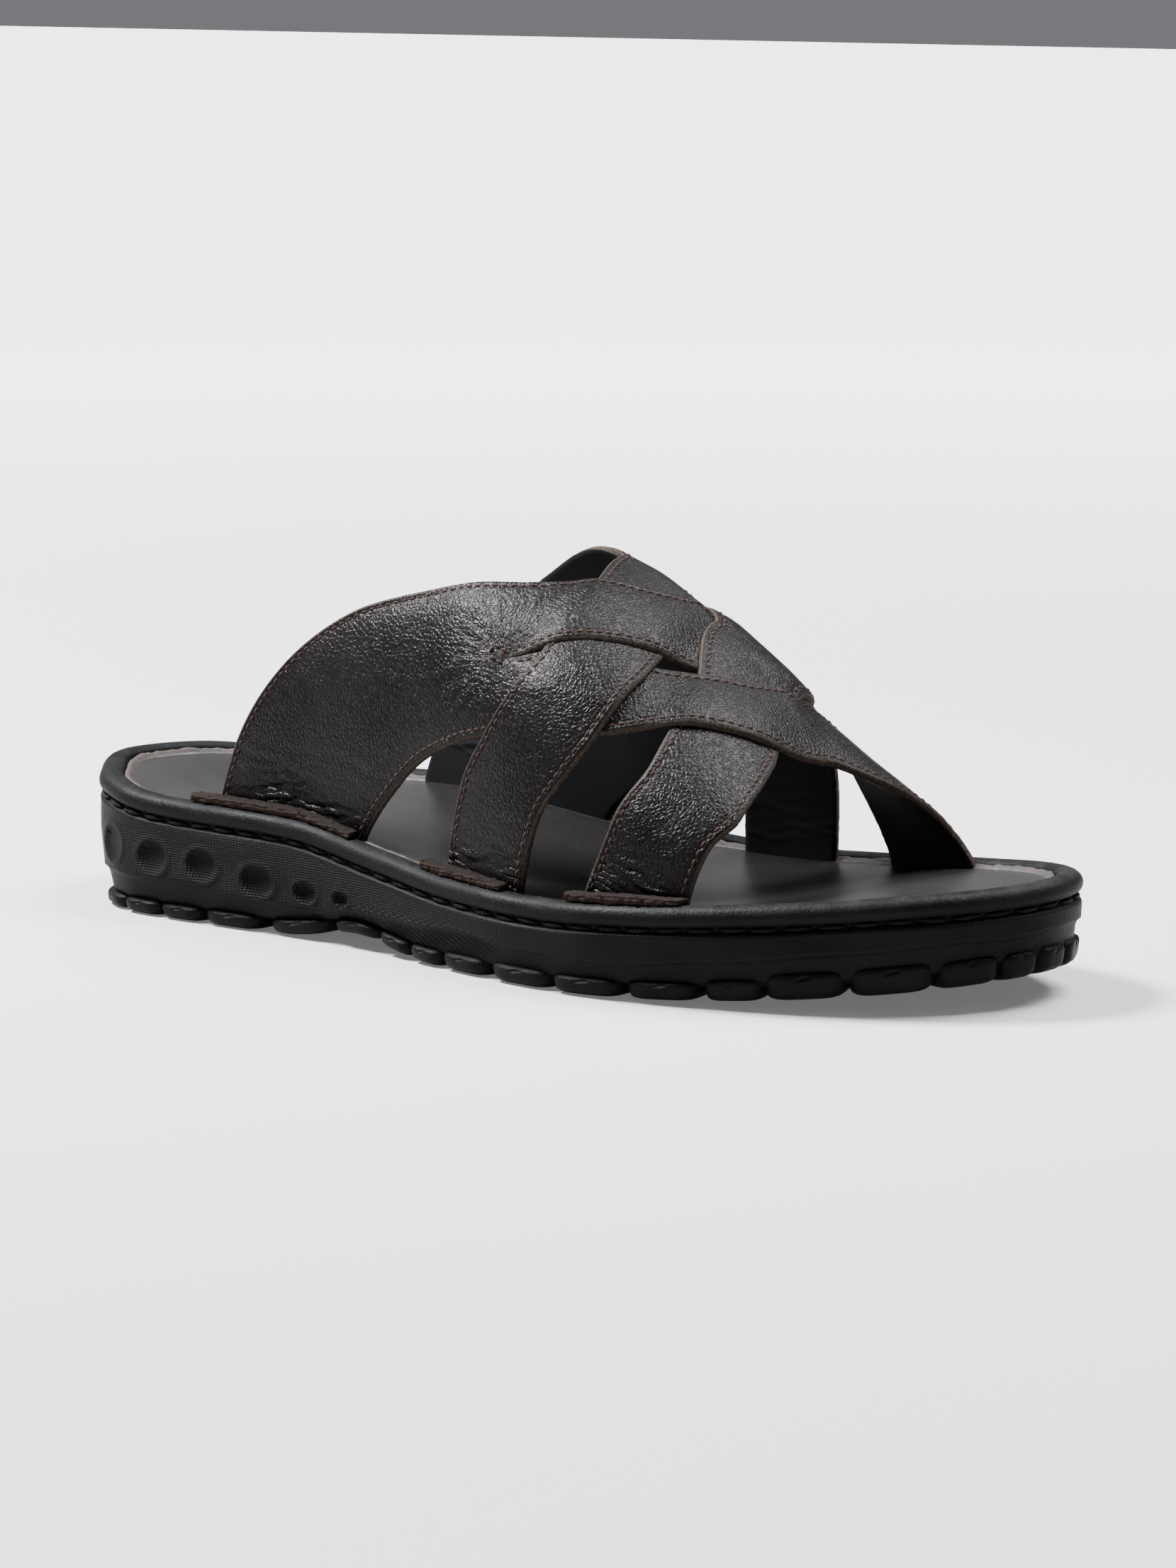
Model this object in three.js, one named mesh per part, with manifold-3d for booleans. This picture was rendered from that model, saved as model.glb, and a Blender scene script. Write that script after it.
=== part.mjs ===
// Slide sandal for a right foot: rubber unit sole, let-in footbed, woven leather upper and raw leather
// strips at the strap bases. Millimetres, +X to the toe, +Y to the inner side of the foot, +Z up.
// The origin lies on the floor, under the middle of the sole.
import * as THREE from 'three';
import { mergeVertices } from 'three/addons/utils/BufferGeometryUtils.js';
import Module from 'manifold-3d';

const wasm = await Module();
wasm.setup();

// Driving sizes
const soleLength = 290;
const ballWidth = 103;
const heelSideHeight = 31;
const instepHeight = 100;
const toeSpring = 8;
const waistRise = 3.6;
const lugHeight = 3.5;
const lugBreadth = 21;
const rimRise = 5.5;
const rimWidth = 6.5;
const grooveDepth = 1.7;
const ledgeStep = 0.9;
const cupDepth = 5.6;
const strapWall = 2.6;
const weaveRaise = 2.2;
const weaveRun = 10;
const strapTuck = 3.4;
const tabThickness = 2.4;
const tabWidth = 4.4;
const dimpleDepth = 1.1;
const heelTuck = 8;
const clearance = 0.3;
const outlineSteps = 36;

// Sole outline: distance from the heel as a share of the length, half widths as shares of the ball width
const outlineTable = [
  { share: 0, outer: 0, inner: 0 },
  { share: 0.03, outer: 0.185, inner: 0.262 },
  { share: 0.07, outer: 0.306, inner: 0.336 },
  { share: 0.12, outer: 0.362, inner: 0.362 },
  { share: 0.18, outer: 0.372, inner: 0.362 },
  { share: 0.3, outer: 0.374, inner: 0.33 },
  { share: 0.4, outer: 0.402, inner: 0.311 },
  { share: 0.5, outer: 0.465, inner: 0.341 },
  { share: 0.6, outer: 0.517, inner: 0.422 },
  { share: 0.66, outer: 0.528, inner: 0.461 },
  { share: 0.72, outer: 0.508, inner: 0.477 },
  { share: 0.8, outer: 0.449, inner: 0.464 },
  { share: 0.88, outer: 0.352, inner: 0.43 },
  { share: 0.94, outer: 0.238, inner: 0.368 },
  { share: 0.98, outer: 0.1, inner: 0.272 },
  { share: 1, outer: -0.09, inner: 0.09 }
];

// Side of the sole: heights of the stitch groove and of the ledge, and the rise of the inner side at the
// arch, as shares of the side's height at the heel
const sideTable = [
  { share: 0, groove: 1, ledge: 0.36, arch: 0 },
  { share: 0.07, groove: 0.94, ledge: 0.34, arch: 0 },
  { share: 0.15, groove: 0.85, ledge: 0.32, arch: 0.01 },
  { share: 0.3, groove: 0.81, ledge: 0.27, arch: 0.11 },
  { share: 0.42, groove: 0.65, ledge: 0.3, arch: 0.24 },
  { share: 0.52, groove: 0.56, ledge: 0.33, arch: 0.17 },
  { share: 0.6, groove: 0.54, ledge: 0.3, arch: 0.07 },
  { share: 0.7, groove: 0.57, ledge: 0.3, arch: 0 },
  { share: 0.85, groove: 0.67, ledge: 0.44, arch: 0 },
  { share: 0.93, groove: 0.74, ledge: 0.52, arch: 0 },
  { share: 1, groove: 0.79, ledge: 0.6, arch: 0 }
];

// Wall of the sole from the tread up to the rim and down into the cup: inset from the outline, the level
// that the height is counted from, and the height above that level
const wallTable = [
  { inset: 4.2, level: 'tread', height: 0 },
  { inset: 2.2, level: 'tread', height: 1.4 },
  { inset: 1.3, level: 'ledge', height: -0.7 },
  { inset: 1.3 - ledgeStep, level: 'ledge', height: 0.5 },
  { inset: 0.3, level: 'groove', height: -1.6 },
  { inset: 0.3 + grooveDepth, level: 'groove', height: -0.2 },
  { inset: 0.7, level: 'groove', height: 0.9 },
  { inset: 0, level: 'groove', height: rimRise * 0.48 },
  { inset: rimWidth * 0.2, level: 'groove', height: rimRise * 0.86 },
  { inset: rimWidth * 0.55, level: 'groove', height: rimRise },
  { inset: rimWidth, level: 'groove', height: rimRise * 0.84 },
  { inset: rimWidth, level: 'groove', height: rimRise - cupDepth }
];

// Last under the straps: ridge height as a share of the instep height, ridge side shift as a share of
// the ball width
const lastTable = [
  { share: 0.15, ridge: 0.928, shift: 0.055 },
  { share: 0.25, ridge: 1, shift: 0.095 },
  { share: 0.35, ridge: 1.043, shift: 0.136 },
  { share: 0.45, ridge: 1.03, shift: 0.171 },
  { share: 0.55, ridge: 0.943, shift: 0.185 },
  { share: 0.65, ridge: 0.76, shift: 0.166 },
  { share: 0.75, ridge: 0.564, shift: 0.091 },
  { share: 0.85, ridge: 0.397, shift: 0.044 },
  { share: 0.95, ridge: 0.272, shift: 0.014 }
];
const shoulder = 0.7;
const archFlatness = 0.84;

// Slit panels of the weave: the band's slit ends at slitEnd, and the two strips run on from there. across
// runs from the outer base (0) over the instep to the inner base (1); rear and front are the edges as
// shares of the length.
const panels = {
  outer: {
    slitEnd: 0.24,
    bandFirst: true,
    rear: [
      { across: 0, rear: 0.208, front: 0.288 },
      { across: 0.08, rear: 0.233, front: 0.356 },
      { across: 0.16, rear: 0.274, front: 0.436 },
      { across: 0.24, rear: 0.344, front: 0.53 },
      { across: 0.3, rear: 0.427, front: 0.57 },
      { across: 0.36, rear: 0.504, front: 0.605 },
      { across: 0.42, rear: 0.544, front: 0.639 },
      { across: 0.48, rear: 0.586, front: 0.676 },
      { across: 0.54, rear: 0.613, front: 0.695 },
      { across: 0.64, rear: 0.613, front: 0.702 },
      { across: 0.8, rear: 0.613, front: 0.705 },
      { across: 1, rear: 0.614, front: 0.7 }
    ],
    front: [
      { across: 0, rear: 0.288, front: 0.378 },
      { across: 0.04, rear: 0.322, front: 0.409 },
      { across: 0.08, rear: 0.356, front: 0.444 },
      { across: 0.12, rear: 0.395, front: 0.497 },
      { across: 0.16, rear: 0.436, front: 0.559 },
      { across: 0.24, rear: 0.53, front: 0.646 },
      { across: 0.32, rear: 0.588, front: 0.683 },
      { across: 0.4, rear: 0.645, front: 0.72 },
      { across: 0.48, rear: 0.686, front: 0.76 },
      { across: 0.56, rear: 0.711, front: 0.791 },
      { across: 0.66, rear: 0.716, front: 0.81 },
      { across: 0.8, rear: 0.725, front: 0.826 },
      { across: 1, rear: 0.76, front: 0.851 }
    ]
  },
  inner: {
    slitEnd: 0.76,
    bandFirst: false,
    rear: [
      { across: 0, rear: 0.49, front: 0.584 },
      { across: 0.08, rear: 0.506, front: 0.601 },
      { across: 0.14, rear: 0.529, front: 0.621 },
      { across: 0.22, rear: 0.554, front: 0.64 },
      { across: 0.28, rear: 0.563, front: 0.645 },
      { across: 0.34, rear: 0.559, front: 0.646 },
      { across: 0.43, rear: 0.55, front: 0.635 },
      { across: 0.52, rear: 0.517, front: 0.61 },
      { across: 0.6, rear: 0.486, front: 0.578 },
      { across: 0.7, rear: 0.442, front: 0.536 },
      { across: 0.8, rear: 0.384, front: 0.48 },
      { across: 0.9, rear: 0.33, front: 0.42 },
      { across: 1, rear: 0.285, front: 0.37 }
    ],
    front: [
      { across: 0, rear: 0.655, front: 0.753 },
      { across: 0.07, rear: 0.672, front: 0.76 },
      { across: 0.14, rear: 0.681, front: 0.766 },
      { across: 0.24, rear: 0.693, front: 0.777 },
      { across: 0.33, rear: 0.688, front: 0.773 },
      { across: 0.42, rear: 0.673, front: 0.761 },
      { across: 0.5, rear: 0.624, front: 0.731 },
      { across: 0.58, rear: 0.594, front: 0.702 },
      { across: 0.66, rear: 0.562, front: 0.695 },
      { across: 0.76, rear: 0.505, front: 0.675 },
      { across: 0.85, rear: 0.45, front: 0.625 },
      { across: 0.93, rear: 0.405, front: 0.556 },
      { across: 1, rear: 0.37, front: 0.49 }
    ]
  }
};

// Oval dimples of the heel and waist side: place along the length, height as a share of the side's height
// at the heel, and the oval's length and height in the same shares
const dimpleTable = [
  { share: 0.092, height: 0.57, long: 0.031, tall: 0.29 },
  { share: 0.148, height: 0.51, long: 0.034, tall: 0.26 },
  { share: 0.207, height: 0.5, long: 0.034, tall: 0.25 },
  { share: 0.272, height: 0.43, long: 0.036, tall: 0.25 },
  { share: 0.329, height: 0.4, long: 0.026, tall: 0.17 },
  { share: 0.374, height: 0.4, long: 0.018, tall: 0.12 }
];

// Lugs round the edge, on both sides: place along the length, length as a share of the sole's, and climb up
// the wall in lug heights
const edgeLugTable = [
  { share: 0, long: 0.054, climb: 0.1 },
  { share: 0.022, long: 0.058, climb: 0.15 },
  { share: 0.072, long: 0.058, climb: 0.2 },
  { share: 0.127, long: 0.047, climb: 0.2 },
  { share: 0.176, long: 0.048, climb: 0.2 },
  { share: 0.236, long: 0.062, climb: 0.25 },
  { share: 0.314, long: 0.068, climb: 0.25 },
  { share: 0.385, long: 0.055, climb: 0.1 },
  { share: 0.436, long: 0.041, climb: 0.2 },
  { share: 0.478, long: 0.041, climb: 0.3 },
  { share: 0.528, long: 0.055, climb: 0.4 },
  { share: 0.598, long: 0.066, climb: 0.45 },
  { share: 0.671, long: 0.066, climb: 0.45 },
  { share: 0.743, long: 0.063, climb: 0.5 },
  { share: 0.804, long: 0.05, climb: 0.75 },
  { share: 0.86, long: 0.066, climb: 1.15 },
  { share: 0.923, long: 0.067, climb: 1.2 },
  { share: 0.97, long: 0.053, climb: 1.1 },
  { share: 0.993, long: 0.036, climb: 1 },
  { share: 1, long: 0.036, climb: 1 }
];

// Lugs inside the edge: place along the length, side place as a share of the half width there, length as a
// share of the sole's, breadth in lug breadths
const innerLugTable = [
  { share: 0.09, side: 0, long: 0.04, broad: 1.2 },
  { share: 0.15, side: 0, long: 0.045, broad: 0.95 },
  { share: 0.21, side: 0, long: 0.045, broad: 0.95 },
  { share: 0.29, side: 0, long: 0.06, broad: 0.8 },
  { share: 0.56, side: 0, long: 0.05, broad: 1.1 },
  { share: 0.63, side: -0.24, long: 0.055, broad: 0.95 },
  { share: 0.63, side: 0.24, long: 0.055, broad: 0.95 },
  { share: 0.705, side: -0.24, long: 0.055, broad: 0.95 },
  { share: 0.705, side: 0.24, long: 0.055, broad: 0.95 },
  { share: 0.777, side: 0.06, long: 0.05, broad: 1.3 },
  { share: 0.84, side: 0.1, long: 0.045, broad: 1.1 },
  { share: 0.895, side: 0.2, long: 0.038, broad: 0.8 }
];

// Value of a table's column at a place, by a smooth curve through the rows
function readTable(table, key, column, at) {
  const last = table.length - 1;
  const place = Math.min(Math.max(at, table[0][key]), table[last][key]);
  let i = 0;
  while (i < last - 1 && place > table[i + 1][key]) i += 1;
  const slope = (a, b) => (table[b][column] - table[a][column]) / (table[b][key] - table[a][key]);
  const tangent = (n) => {
    if (n === 0) return slope(0, 1);
    if (n === last) return slope(last - 1, last);
    const before = slope(n - 1, n);
    const after = slope(n, n + 1);
    return before * after <= 0 ? 0 : (2 * before * after) / (before + after);
  };
  const step = table[i + 1][key] - table[i][key];
  const t = (place - table[i][key]) / step;
  const t2 = t * t;
  const t3 = t2 * t;
  return (2 * t3 - 3 * t2 + 1) * table[i][column]
    + (t3 - 2 * t2 + t) * step * tangent(i)
    + (3 * t2 - 2 * t3) * table[i + 1][column]
    + (t3 - t2) * step * tangent(i + 1);
}

// The outline table seen along an angle that closes round at the heel and the toe
const roundTable = outlineTable.map((row) => ({
  turn: Math.acos(1 - 2 * row.share) / Math.PI,
  outer: row.outer,
  inner: row.inner
}));

function outlinePoint(turn, side) {
  const x = soleLength * (1 - Math.cos(Math.PI * turn)) / 2;
  const half = readTable(roundTable, 'turn', side < 0 ? 'outer' : 'inner', turn) * ballWidth;
  return new THREE.Vector2(x, side * half);
}

// Closed outline, anticlockwise from above: heel, outer side, toe, inner side
const outline = [];
for (let i = 0; i < outlineSteps; i += 1) outline.push(outlinePoint(i / outlineSteps, -1));
for (let i = outlineSteps; i > 0; i -= 1) outline.push(outlinePoint(i / outlineSteps, 1));
const ringCount = outline.length;
const outward = outline.map((point, i) => {
  const next = outline[(i + 1) % ringCount];
  const before = outline[(i + ringCount - 1) % ringCount];
  return new THREE.Vector2(next.y - before.y, before.x - next.x).normalize();
});

const widest = Math.max(...outline.map((p) => p.y));
const narrowest = Math.min(...outline.map((p) => p.y));
const middle = new THREE.Vector3(soleLength / 2, (widest + narrowest) / 2, 0);

const sideValue = (column, x) => readTable(sideTable, 'share', column, x / soleLength) * heelSideHeight;

function innerBlend(y) {
  const t = Math.min(Math.max(y / (ballWidth * 0.3), 0), 1);
  return t * t * (3 - 2 * t);
}

const grooveZ = (x, y) => sideValue('groove', x) + sideValue('arch', x) * innerBlend(y);
const rimZ = (x, y) => grooveZ(x, y) + rimRise;

// Height of the floor side of the sole: flat under heel and ball, raised at the waist and the toe
function treadZ(x) {
  const s = x / soleLength;
  const spring = toeSpring * Math.max((s - 0.62) / 0.38, 0) ** 2;
  const waist = waistRise * Math.exp(-(((s - 0.385) / 0.055) ** 2));
  const heel = 4.2 * Math.max((0.055 - s) / 0.055, 0) ** 1.3;
  return spring + waist + heel;
}

// How far the sole is drawn in under the back of the heel, most at the tread
function tuckAt(level, x) {
  const t = Math.min(Math.max(1 - x / (heelTuck * 3), 0), 1);
  const part = { tread: 1, ledge: 0.4, groove: 0 }[level];
  return heelTuck * part * t * t * (3 - 2 * t);
}

function levelZ(row, x, y) {
  if (row.level === 'tread') return treadZ(x) + lugHeight + row.height;
  if (row.level === 'ledge') {
    return Math.max(sideValue('ledge', x) + row.height, treadZ(x) + lugHeight + 2.4 + row.height);
  }
  return grooveZ(x, y) + row.height;
}

// A closed body from its points and faces, turned so that its faces point out
function closedBody(points, faces) {
  let volume = 0;
  for (const [a, b, c] of faces) volume += points[a].dot(points[b].clone().cross(points[c]));
  const index = volume < 0 ? faces.flatMap(([a, b, c]) => [a, c, b]) : faces.flat();
  const geometry = new THREE.BufferGeometry();
  geometry.setAttribute('position', new THREE.Float32BufferAttribute(points.flatMap((p) => p.toArray()), 3));
  geometry.setIndex(index);
  return geometry;
}

function solidOf(geometry) {
  const bare = geometry.clone();
  bare.deleteAttribute('normal');
  bare.deleteAttribute('uv');
  const merged = mergeVertices(bare, 1e-4);
  return new wasm.Manifold(new wasm.Mesh({
    numProp: 3,
    vertProperties: new Float32Array(merged.attributes.position.array),
    triVerts: new Uint32Array(merged.index.array)
  }));
}

function geometryOf(solid) {
  const mesh = solid.getMesh();
  const geometry = new THREE.BufferGeometry();
  geometry.setAttribute('position', new THREE.BufferAttribute(new Float32Array(mesh.vertProperties), 3));
  geometry.setIndex(new THREE.BufferAttribute(new Uint32Array(mesh.triVerts), 1));
  return geometry;
}

// Ring of points that follows the outline at an inset
function ringAt(inset, height, tuck = () => 0) {
  return outline.map((p, i) => {
    const x = p.x - outward[i].x * (inset + tuck(p.x));
    const y = p.y - outward[i].y * (inset + tuck(p.x));
    return new THREE.Vector3(x, y, height(p.x, p.y));
  });
}

// Body between a stack of rings, closed below and above by floors whose height may dip inside
function ringBody(rings, bottomZ, topZ, columns) {
  const points = rings.flat();
  const faces = [];
  const count = rings[0].length;
  const half = count / 2;
  for (let r = 0; r < rings.length - 1; r += 1) {
    for (let i = 0; i < count; i += 1) {
      const a = r * count + i;
      const b = r * count + ((i + 1) % count);
      faces.push([a, b, b + count], [a, b + count, a + count]);
    }
  }
  const cap = (ring, height, flip) => {
    const base = ring * count;
    const rows = [];
    for (let i = 1; i < half; i += 1) {
      const left = points[base + i];
      const right = points[base + count - i];
      const row = [base + i];
      for (let c = 1; c < columns; c += 1) {
        const p = left.clone().lerp(right, c / columns);
        p.z += height(p.x, 1 - Math.abs(2 * c / columns - 1));
        row.push(points.length);
        points.push(p);
      }
      row.push(base + count - i);
      rows.push(row);
    }
    const add = (a, b, c) => faces.push(flip ? [a, c, b] : [a, b, c]);
    for (let c = 0; c < columns; c += 1) {
      add(base, rows[0][c + 1], rows[0][c]);
      add(base + half, rows[rows.length - 1][c], rows[rows.length - 1][c + 1]);
    }
    for (let r = 0; r < rows.length - 1; r += 1) {
      for (let c = 0; c < columns; c += 1) {
        add(rows[r][c], rows[r][c + 1], rows[r + 1][c]);
        add(rows[r][c + 1], rows[r + 1][c + 1], rows[r + 1][c]);
      }
    }
  };
  cap(0, bottomZ, false);
  cap(rings.length - 1, topZ, true);
  return closedBody(points, faces);
}

// Dip of the footbed between its edges, deepest in the heel and under the ball
function footbedDip(x, middleness) {
  const s = x / soleLength;
  const depth = 3.2 * Math.exp(-(((s - 0.16) / 0.14) ** 2)) + 1.4 * Math.exp(-(((s - 0.66) / 0.16) ** 2));
  return -depth * Math.min(middleness * 1.3, 1);
}

// Rubber unit sole
const soleRings = wallTable.map((row) => (
  ringAt(row.inset, (x, y) => levelZ(row, x, y), (x) => tuckAt(row.level, x))
));
let sole = solidOf(ringBody(soleRings, () => 0, footbedDip, 4));

// Block between layers of points that all have the same count
function layeredBody(layers) {
  const points = layers.flat();
  const faces = [];
  const count = layers[0].length;
  for (let k = 1; k < layers.length; k += 1) {
    for (let i = 0; i < count; i += 1) {
      const a = (k - 1) * count + i;
      const b = (k - 1) * count + ((i + 1) % count);
      faces.push([a, b, b + count], [a, b + count, a + count]);
    }
  }
  const top = (layers.length - 1) * count;
  for (let i = 1; i < count - 1; i += 1) {
    faces.push([0, i + 1, i], [top, top + i, top + i + 1]);
  }
  return solidOf(closedBody(points, faces));
}

// Lug at the edge: rounded as seen from the side, its flank proud of the sole's wall, its inner end let in
function edgeLug(row, side) {
  const turn = Math.acos(1 - 2 * row.share) / Math.PI;
  const here = outlinePoint(turn, side);
  const before = turn < 0.02 ? outlinePoint(0.02, -side) : outlinePoint(turn - 0.02, side);
  const after = turn > 0.98 ? outlinePoint(0.98, -side) : outlinePoint(turn + 0.02, side);
  const along = after.sub(before).normalize();
  const inward = new THREE.Vector2(side * along.y, -side * along.x);
  const half = row.long * soleLength / 2;
  const tall = lugHeight * (1 + row.climb);
  const arch = [[0.84, 0], [1, 0.28], [0.96, 0.68], [0.6, 1]];
  const section = [...arch, ...arch.map(([share, up]) => [-share, up]).reverse()];
  const layer = (footInset, inset, height) => section.map(([share, up]) => {
    const at = here.clone().addScaledVector(along, share * half);
    at.addScaledVector(inward, (up === 0 ? footInset : inset) + 1.4 * tuckAt('tread', here.x));
    return new THREE.Vector3(at.x, at.y, treadZ(at.x) + up * height);
  });
  return layeredBody([
    layer(1.8, 0.7, tall),
    layer(lugBreadth, lugBreadth, lugHeight + 0.6)
  ]);
}

// Lug inside the edge: an eight-sided block
function innerLug(row) {
  const x = row.share * soleLength;
  const turn = Math.acos(1 - 2 * row.share) / Math.PI;
  const y = row.side * Math.abs(outlinePoint(turn, row.side < 0 ? -1 : 1).y);
  const layer = (size, up) => [1, 3, 5, 7, 9, 11, 13, 15].map((eighth) => {
    const angle = eighth * Math.PI / 8;
    const dx = Math.cos(angle) * size * row.long * soleLength / 2;
    const dy = Math.sin(angle) * size * row.broad * lugBreadth / 2;
    return new THREE.Vector3(x + dx, y + dy, treadZ(x + dx) + up);
  });
  return layeredBody([layer(0.92, 0), layer(1.06, 1.2), layer(1.06, lugHeight + 0.6)]);
}

for (const row of edgeLugTable) {
  sole = sole.add(edgeLug(row, -1));
  if (row.share > 0 && row.share < 1) sole = sole.add(edgeLug(row, 1));
}
for (const row of innerLugTable) sole = sole.add(innerLug(row));

// Dimples pressed into both sides of the heel and waist
for (const row of dimpleTable) {
  for (const side of [-1, 1]) {
    const turn = Math.acos(1 - 2 * row.share) / Math.PI;
    const here = outlinePoint(turn, side);
    const ahead = outlinePoint(turn + 0.02, side);
    const radius = row.tall * heelSideHeight / 2;
    const oval = new THREE.SphereGeometry(1, 10, 6);
    oval.scale(row.long * soleLength / 2, dimpleDepth + 0.8, radius);
    oval.rotateZ(Math.atan2(ahead.y - here.y, ahead.x - here.x));
    oval.translate(here.x, here.y, row.height * heelSideHeight);
    sole = sole.subtract(solidOf(oval));
  }
}

// Side of a ring that lies at an inset, as a table of y over x
function sideLine(inset, side) {
  const ring = ringAt(inset, () => 0).filter((p, i) => {
    const onOuter = i > 0 && i < outlineSteps;
    return side < 0 ? onOuter : i > outlineSteps;
  });
  const rows = ring.map((p) => ({ x: p.x, y: p.y })).sort((a, b) => a.x - b.x);
  return rows.filter((row, i) => i === 0 || row.x > rows[i - 1].x + 0.01);
}

const strapInset = rimWidth + clearance;
const outerBase = sideLine(strapInset, -1);
const innerBase = sideLine(strapInset, 1);
const baseDrop = rimRise - 4;

// Point of the straps' outer face on the last, from the outer base (0) to the inner base (1)
function lastPoint(x, across) {
  const angle = Math.PI * across;
  const side = across < 0.5 ? -1 : 1;
  const edgeY = readTable(side < 0 ? outerBase : innerBase, 'x', 'y', x);
  const foot = rimZ(x, edgeY) - baseDrop;
  const ridge = readTable(lastTable, 'share', 'ridge', x / soleLength) * instepHeight;
  const shift = readTable(lastTable, 'share', 'shift', x / soleLength) * ballWidth;
  const reach = Math.abs(Math.cos(angle)) ** shoulder;
  const climb = Math.abs(Math.sin(angle)) ** archFlatness;
  return new THREE.Vector3(x, shift + (edgeY - shift) * reach, foot + (ridge - foot) * climb);
}

function lastNormal(x, across) {
  const d = 0.004;
  const along = lastPoint(x + 1, across).sub(lastPoint(x - 1, across));
  const over = lastPoint(x, Math.min(across + d, 1)).sub(lastPoint(x, Math.max(across - d, 0)));
  const normal = along.cross(over).normalize();
  return normal.z < 0 ? normal.negate() : normal;
}

// Places along a panel that lie evenly over its length, one of them at the slit's end
function evenPlaces(panel, steps) {
  const middleAt = (across) => {
    const rear = readTable(panel.rear, 'across', 'rear', across);
    const front = readTable(panel.front, 'across', 'front', across);
    return lastPoint(soleLength * (rear + front) / 2, across);
  };
  const fine = 400;
  const lengths = [0];
  for (let i = 1; i <= fine; i += 1) {
    lengths.push(lengths[i - 1] + middleAt(i / fine).distanceTo(middleAt((i - 1) / fine)));
  }
  const places = [0];
  let i = 0;
  for (let k = 1; k < steps; k += 1) {
    const goal = lengths[fine] * k / steps;
    while (lengths[i + 1] < goal) i += 1;
    places.push((i + (goal - lengths[i]) / (lengths[i + 1] - lengths[i])) / fine);
  }
  places.push(1);
  const off = places.map((place) => Math.abs(place - panel.slitEnd));
  places[off.indexOf(Math.min(...off))] = panel.slitEnd;
  return places;
}

// The strip that each strip passes over, two over two
const passesOver = new Map([
  [panels.outer.rear, panels.inner.rear],
  [panels.inner.rear, panels.outer.front],
  [panels.outer.front, panels.inner.front],
  [panels.inner.front, panels.outer.rear]
]);

// Rise of a strip off the last where the strip that it passes over lies below
function riseAt(strip, x, across) {
  const below = passesOver.get(strip);
  let total = 0;
  for (const step of [-0.03, 0, 0.03]) {
    const rear = soleLength * readTable(below, 'across', 'rear', across + step);
    const front = soleLength * readTable(below, 'across', 'front', across + step);
    const t = Math.min(Math.max(Math.min(x - rear, front - x) / weaveRun + 0.6, 0), 1);
    total += t * t * (3 - 2 * t);
  }
  return weaveRaise * total / 3;
}

// One slit panel: a band and its two strips, with the ends turned down into the slot between rim and footbed
function panelBody(panel, steps) {
  const columns = 4;
  const points = [];
  const rows = [];
  const addRow = (across, drop) => {
    const apart = panel.bandFirst ? across > panel.slitEnd : across < panel.slitEnd;
    const read = (strip, column) => readTable(strip, 'across', column, across);
    const slit = (read(panel.rear, 'front') + read(panel.front, 'rear')) / 2;
    const spans = [
      { strip: panel.rear, from: read(panel.rear, 'rear'), to: apart ? read(panel.rear, 'front') : slit },
      { strip: panel.front, from: apart ? read(panel.front, 'rear') : slit, to: read(panel.front, 'front') }
    ];
    const strips = [];
    for (const span of spans) {
      const ids = [];
      for (let c = 0; c <= columns; c += 1) {
        if (!apart && strips.length === 1 && c === 0) {
          ids.push(strips[0][columns]);
          continue;
        }
        const x = soleLength * (span.from + (span.to - span.from) * c / columns);
        const normal = lastNormal(x, across);
        if (across === 0 || across === 1) normal.setZ(0).normalize();
        const face = lastPoint(x, across).addScaledVector(normal, riseAt(span.strip, x, across));
        face.z -= drop;
        ids.push(points.length);
        points.push(face, face.clone().addScaledVector(normal, -strapWall));
      }
      strips.push(ids);
    }
    rows.push({ apart, strips });
  };
  addRow(0, strapTuck);
  for (const across of evenPlaces(panel, steps)) addRow(across, 0);
  addRow(1, strapTuck);

  const faces = [];
  const quad = (a, b, c, d) => faces.push([a, b, c], [a, c, d]);
  for (let r = 1; r < rows.length; r += 1) {
    const open = rows[r - 1].apart || rows[r].apart;
    for (const s of [0, 1]) {
      const here = rows[r - 1].strips[s];
      const next = rows[r].strips[s];
      for (let c = 0; c < columns; c += 1) {
        quad(here[c], here[c + 1], next[c + 1], next[c]);
        quad(here[c] + 1, next[c] + 1, next[c + 1] + 1, here[c + 1] + 1);
      }
      if (s === 0 || open) quad(here[0], next[0], next[0] + 1, here[0] + 1);
      if (s === 1 || open) {
        quad(here[columns], here[columns] + 1, next[columns] + 1, next[columns]);
      }
    }
  }
  for (const s of [0, 1]) {
    const first = rows[0].strips[s];
    const last = rows[rows.length - 1].strips[s];
    for (let c = 0; c < columns; c += 1) {
      quad(first[c], first[c] + 1, first[c + 1] + 1, first[c + 1]);
      quad(last[c], last[c + 1], last[c + 1] + 1, last[c] + 1);
    }
  }
  return solidOf(closedBody(points, faces));
}

// Woven upper: two slit panels that pass over and under each other, joined where they cross
const upper = panelBody(panels.outer, 30).add(panelBody(panels.inner, 30));

// Footbed: a leather covered board that fills the cup, notched where the straps go down
const footbedInset = rimWidth + clearance;
const footbedTop = (x, y) => rimZ(x, y) - rimRise * 0.3;
const footbedRings = [
  ringAt(footbedInset, (x, y) => rimZ(x, y) - cupDepth + clearance),
  ringAt(footbedInset, (x, y) => footbedTop(x, y) - 0.6),
  ringAt(footbedInset + 1.2, footbedTop)
];
let footbed = solidOf(ringBody(footbedRings, footbedDip, footbedDip, 4));

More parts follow.
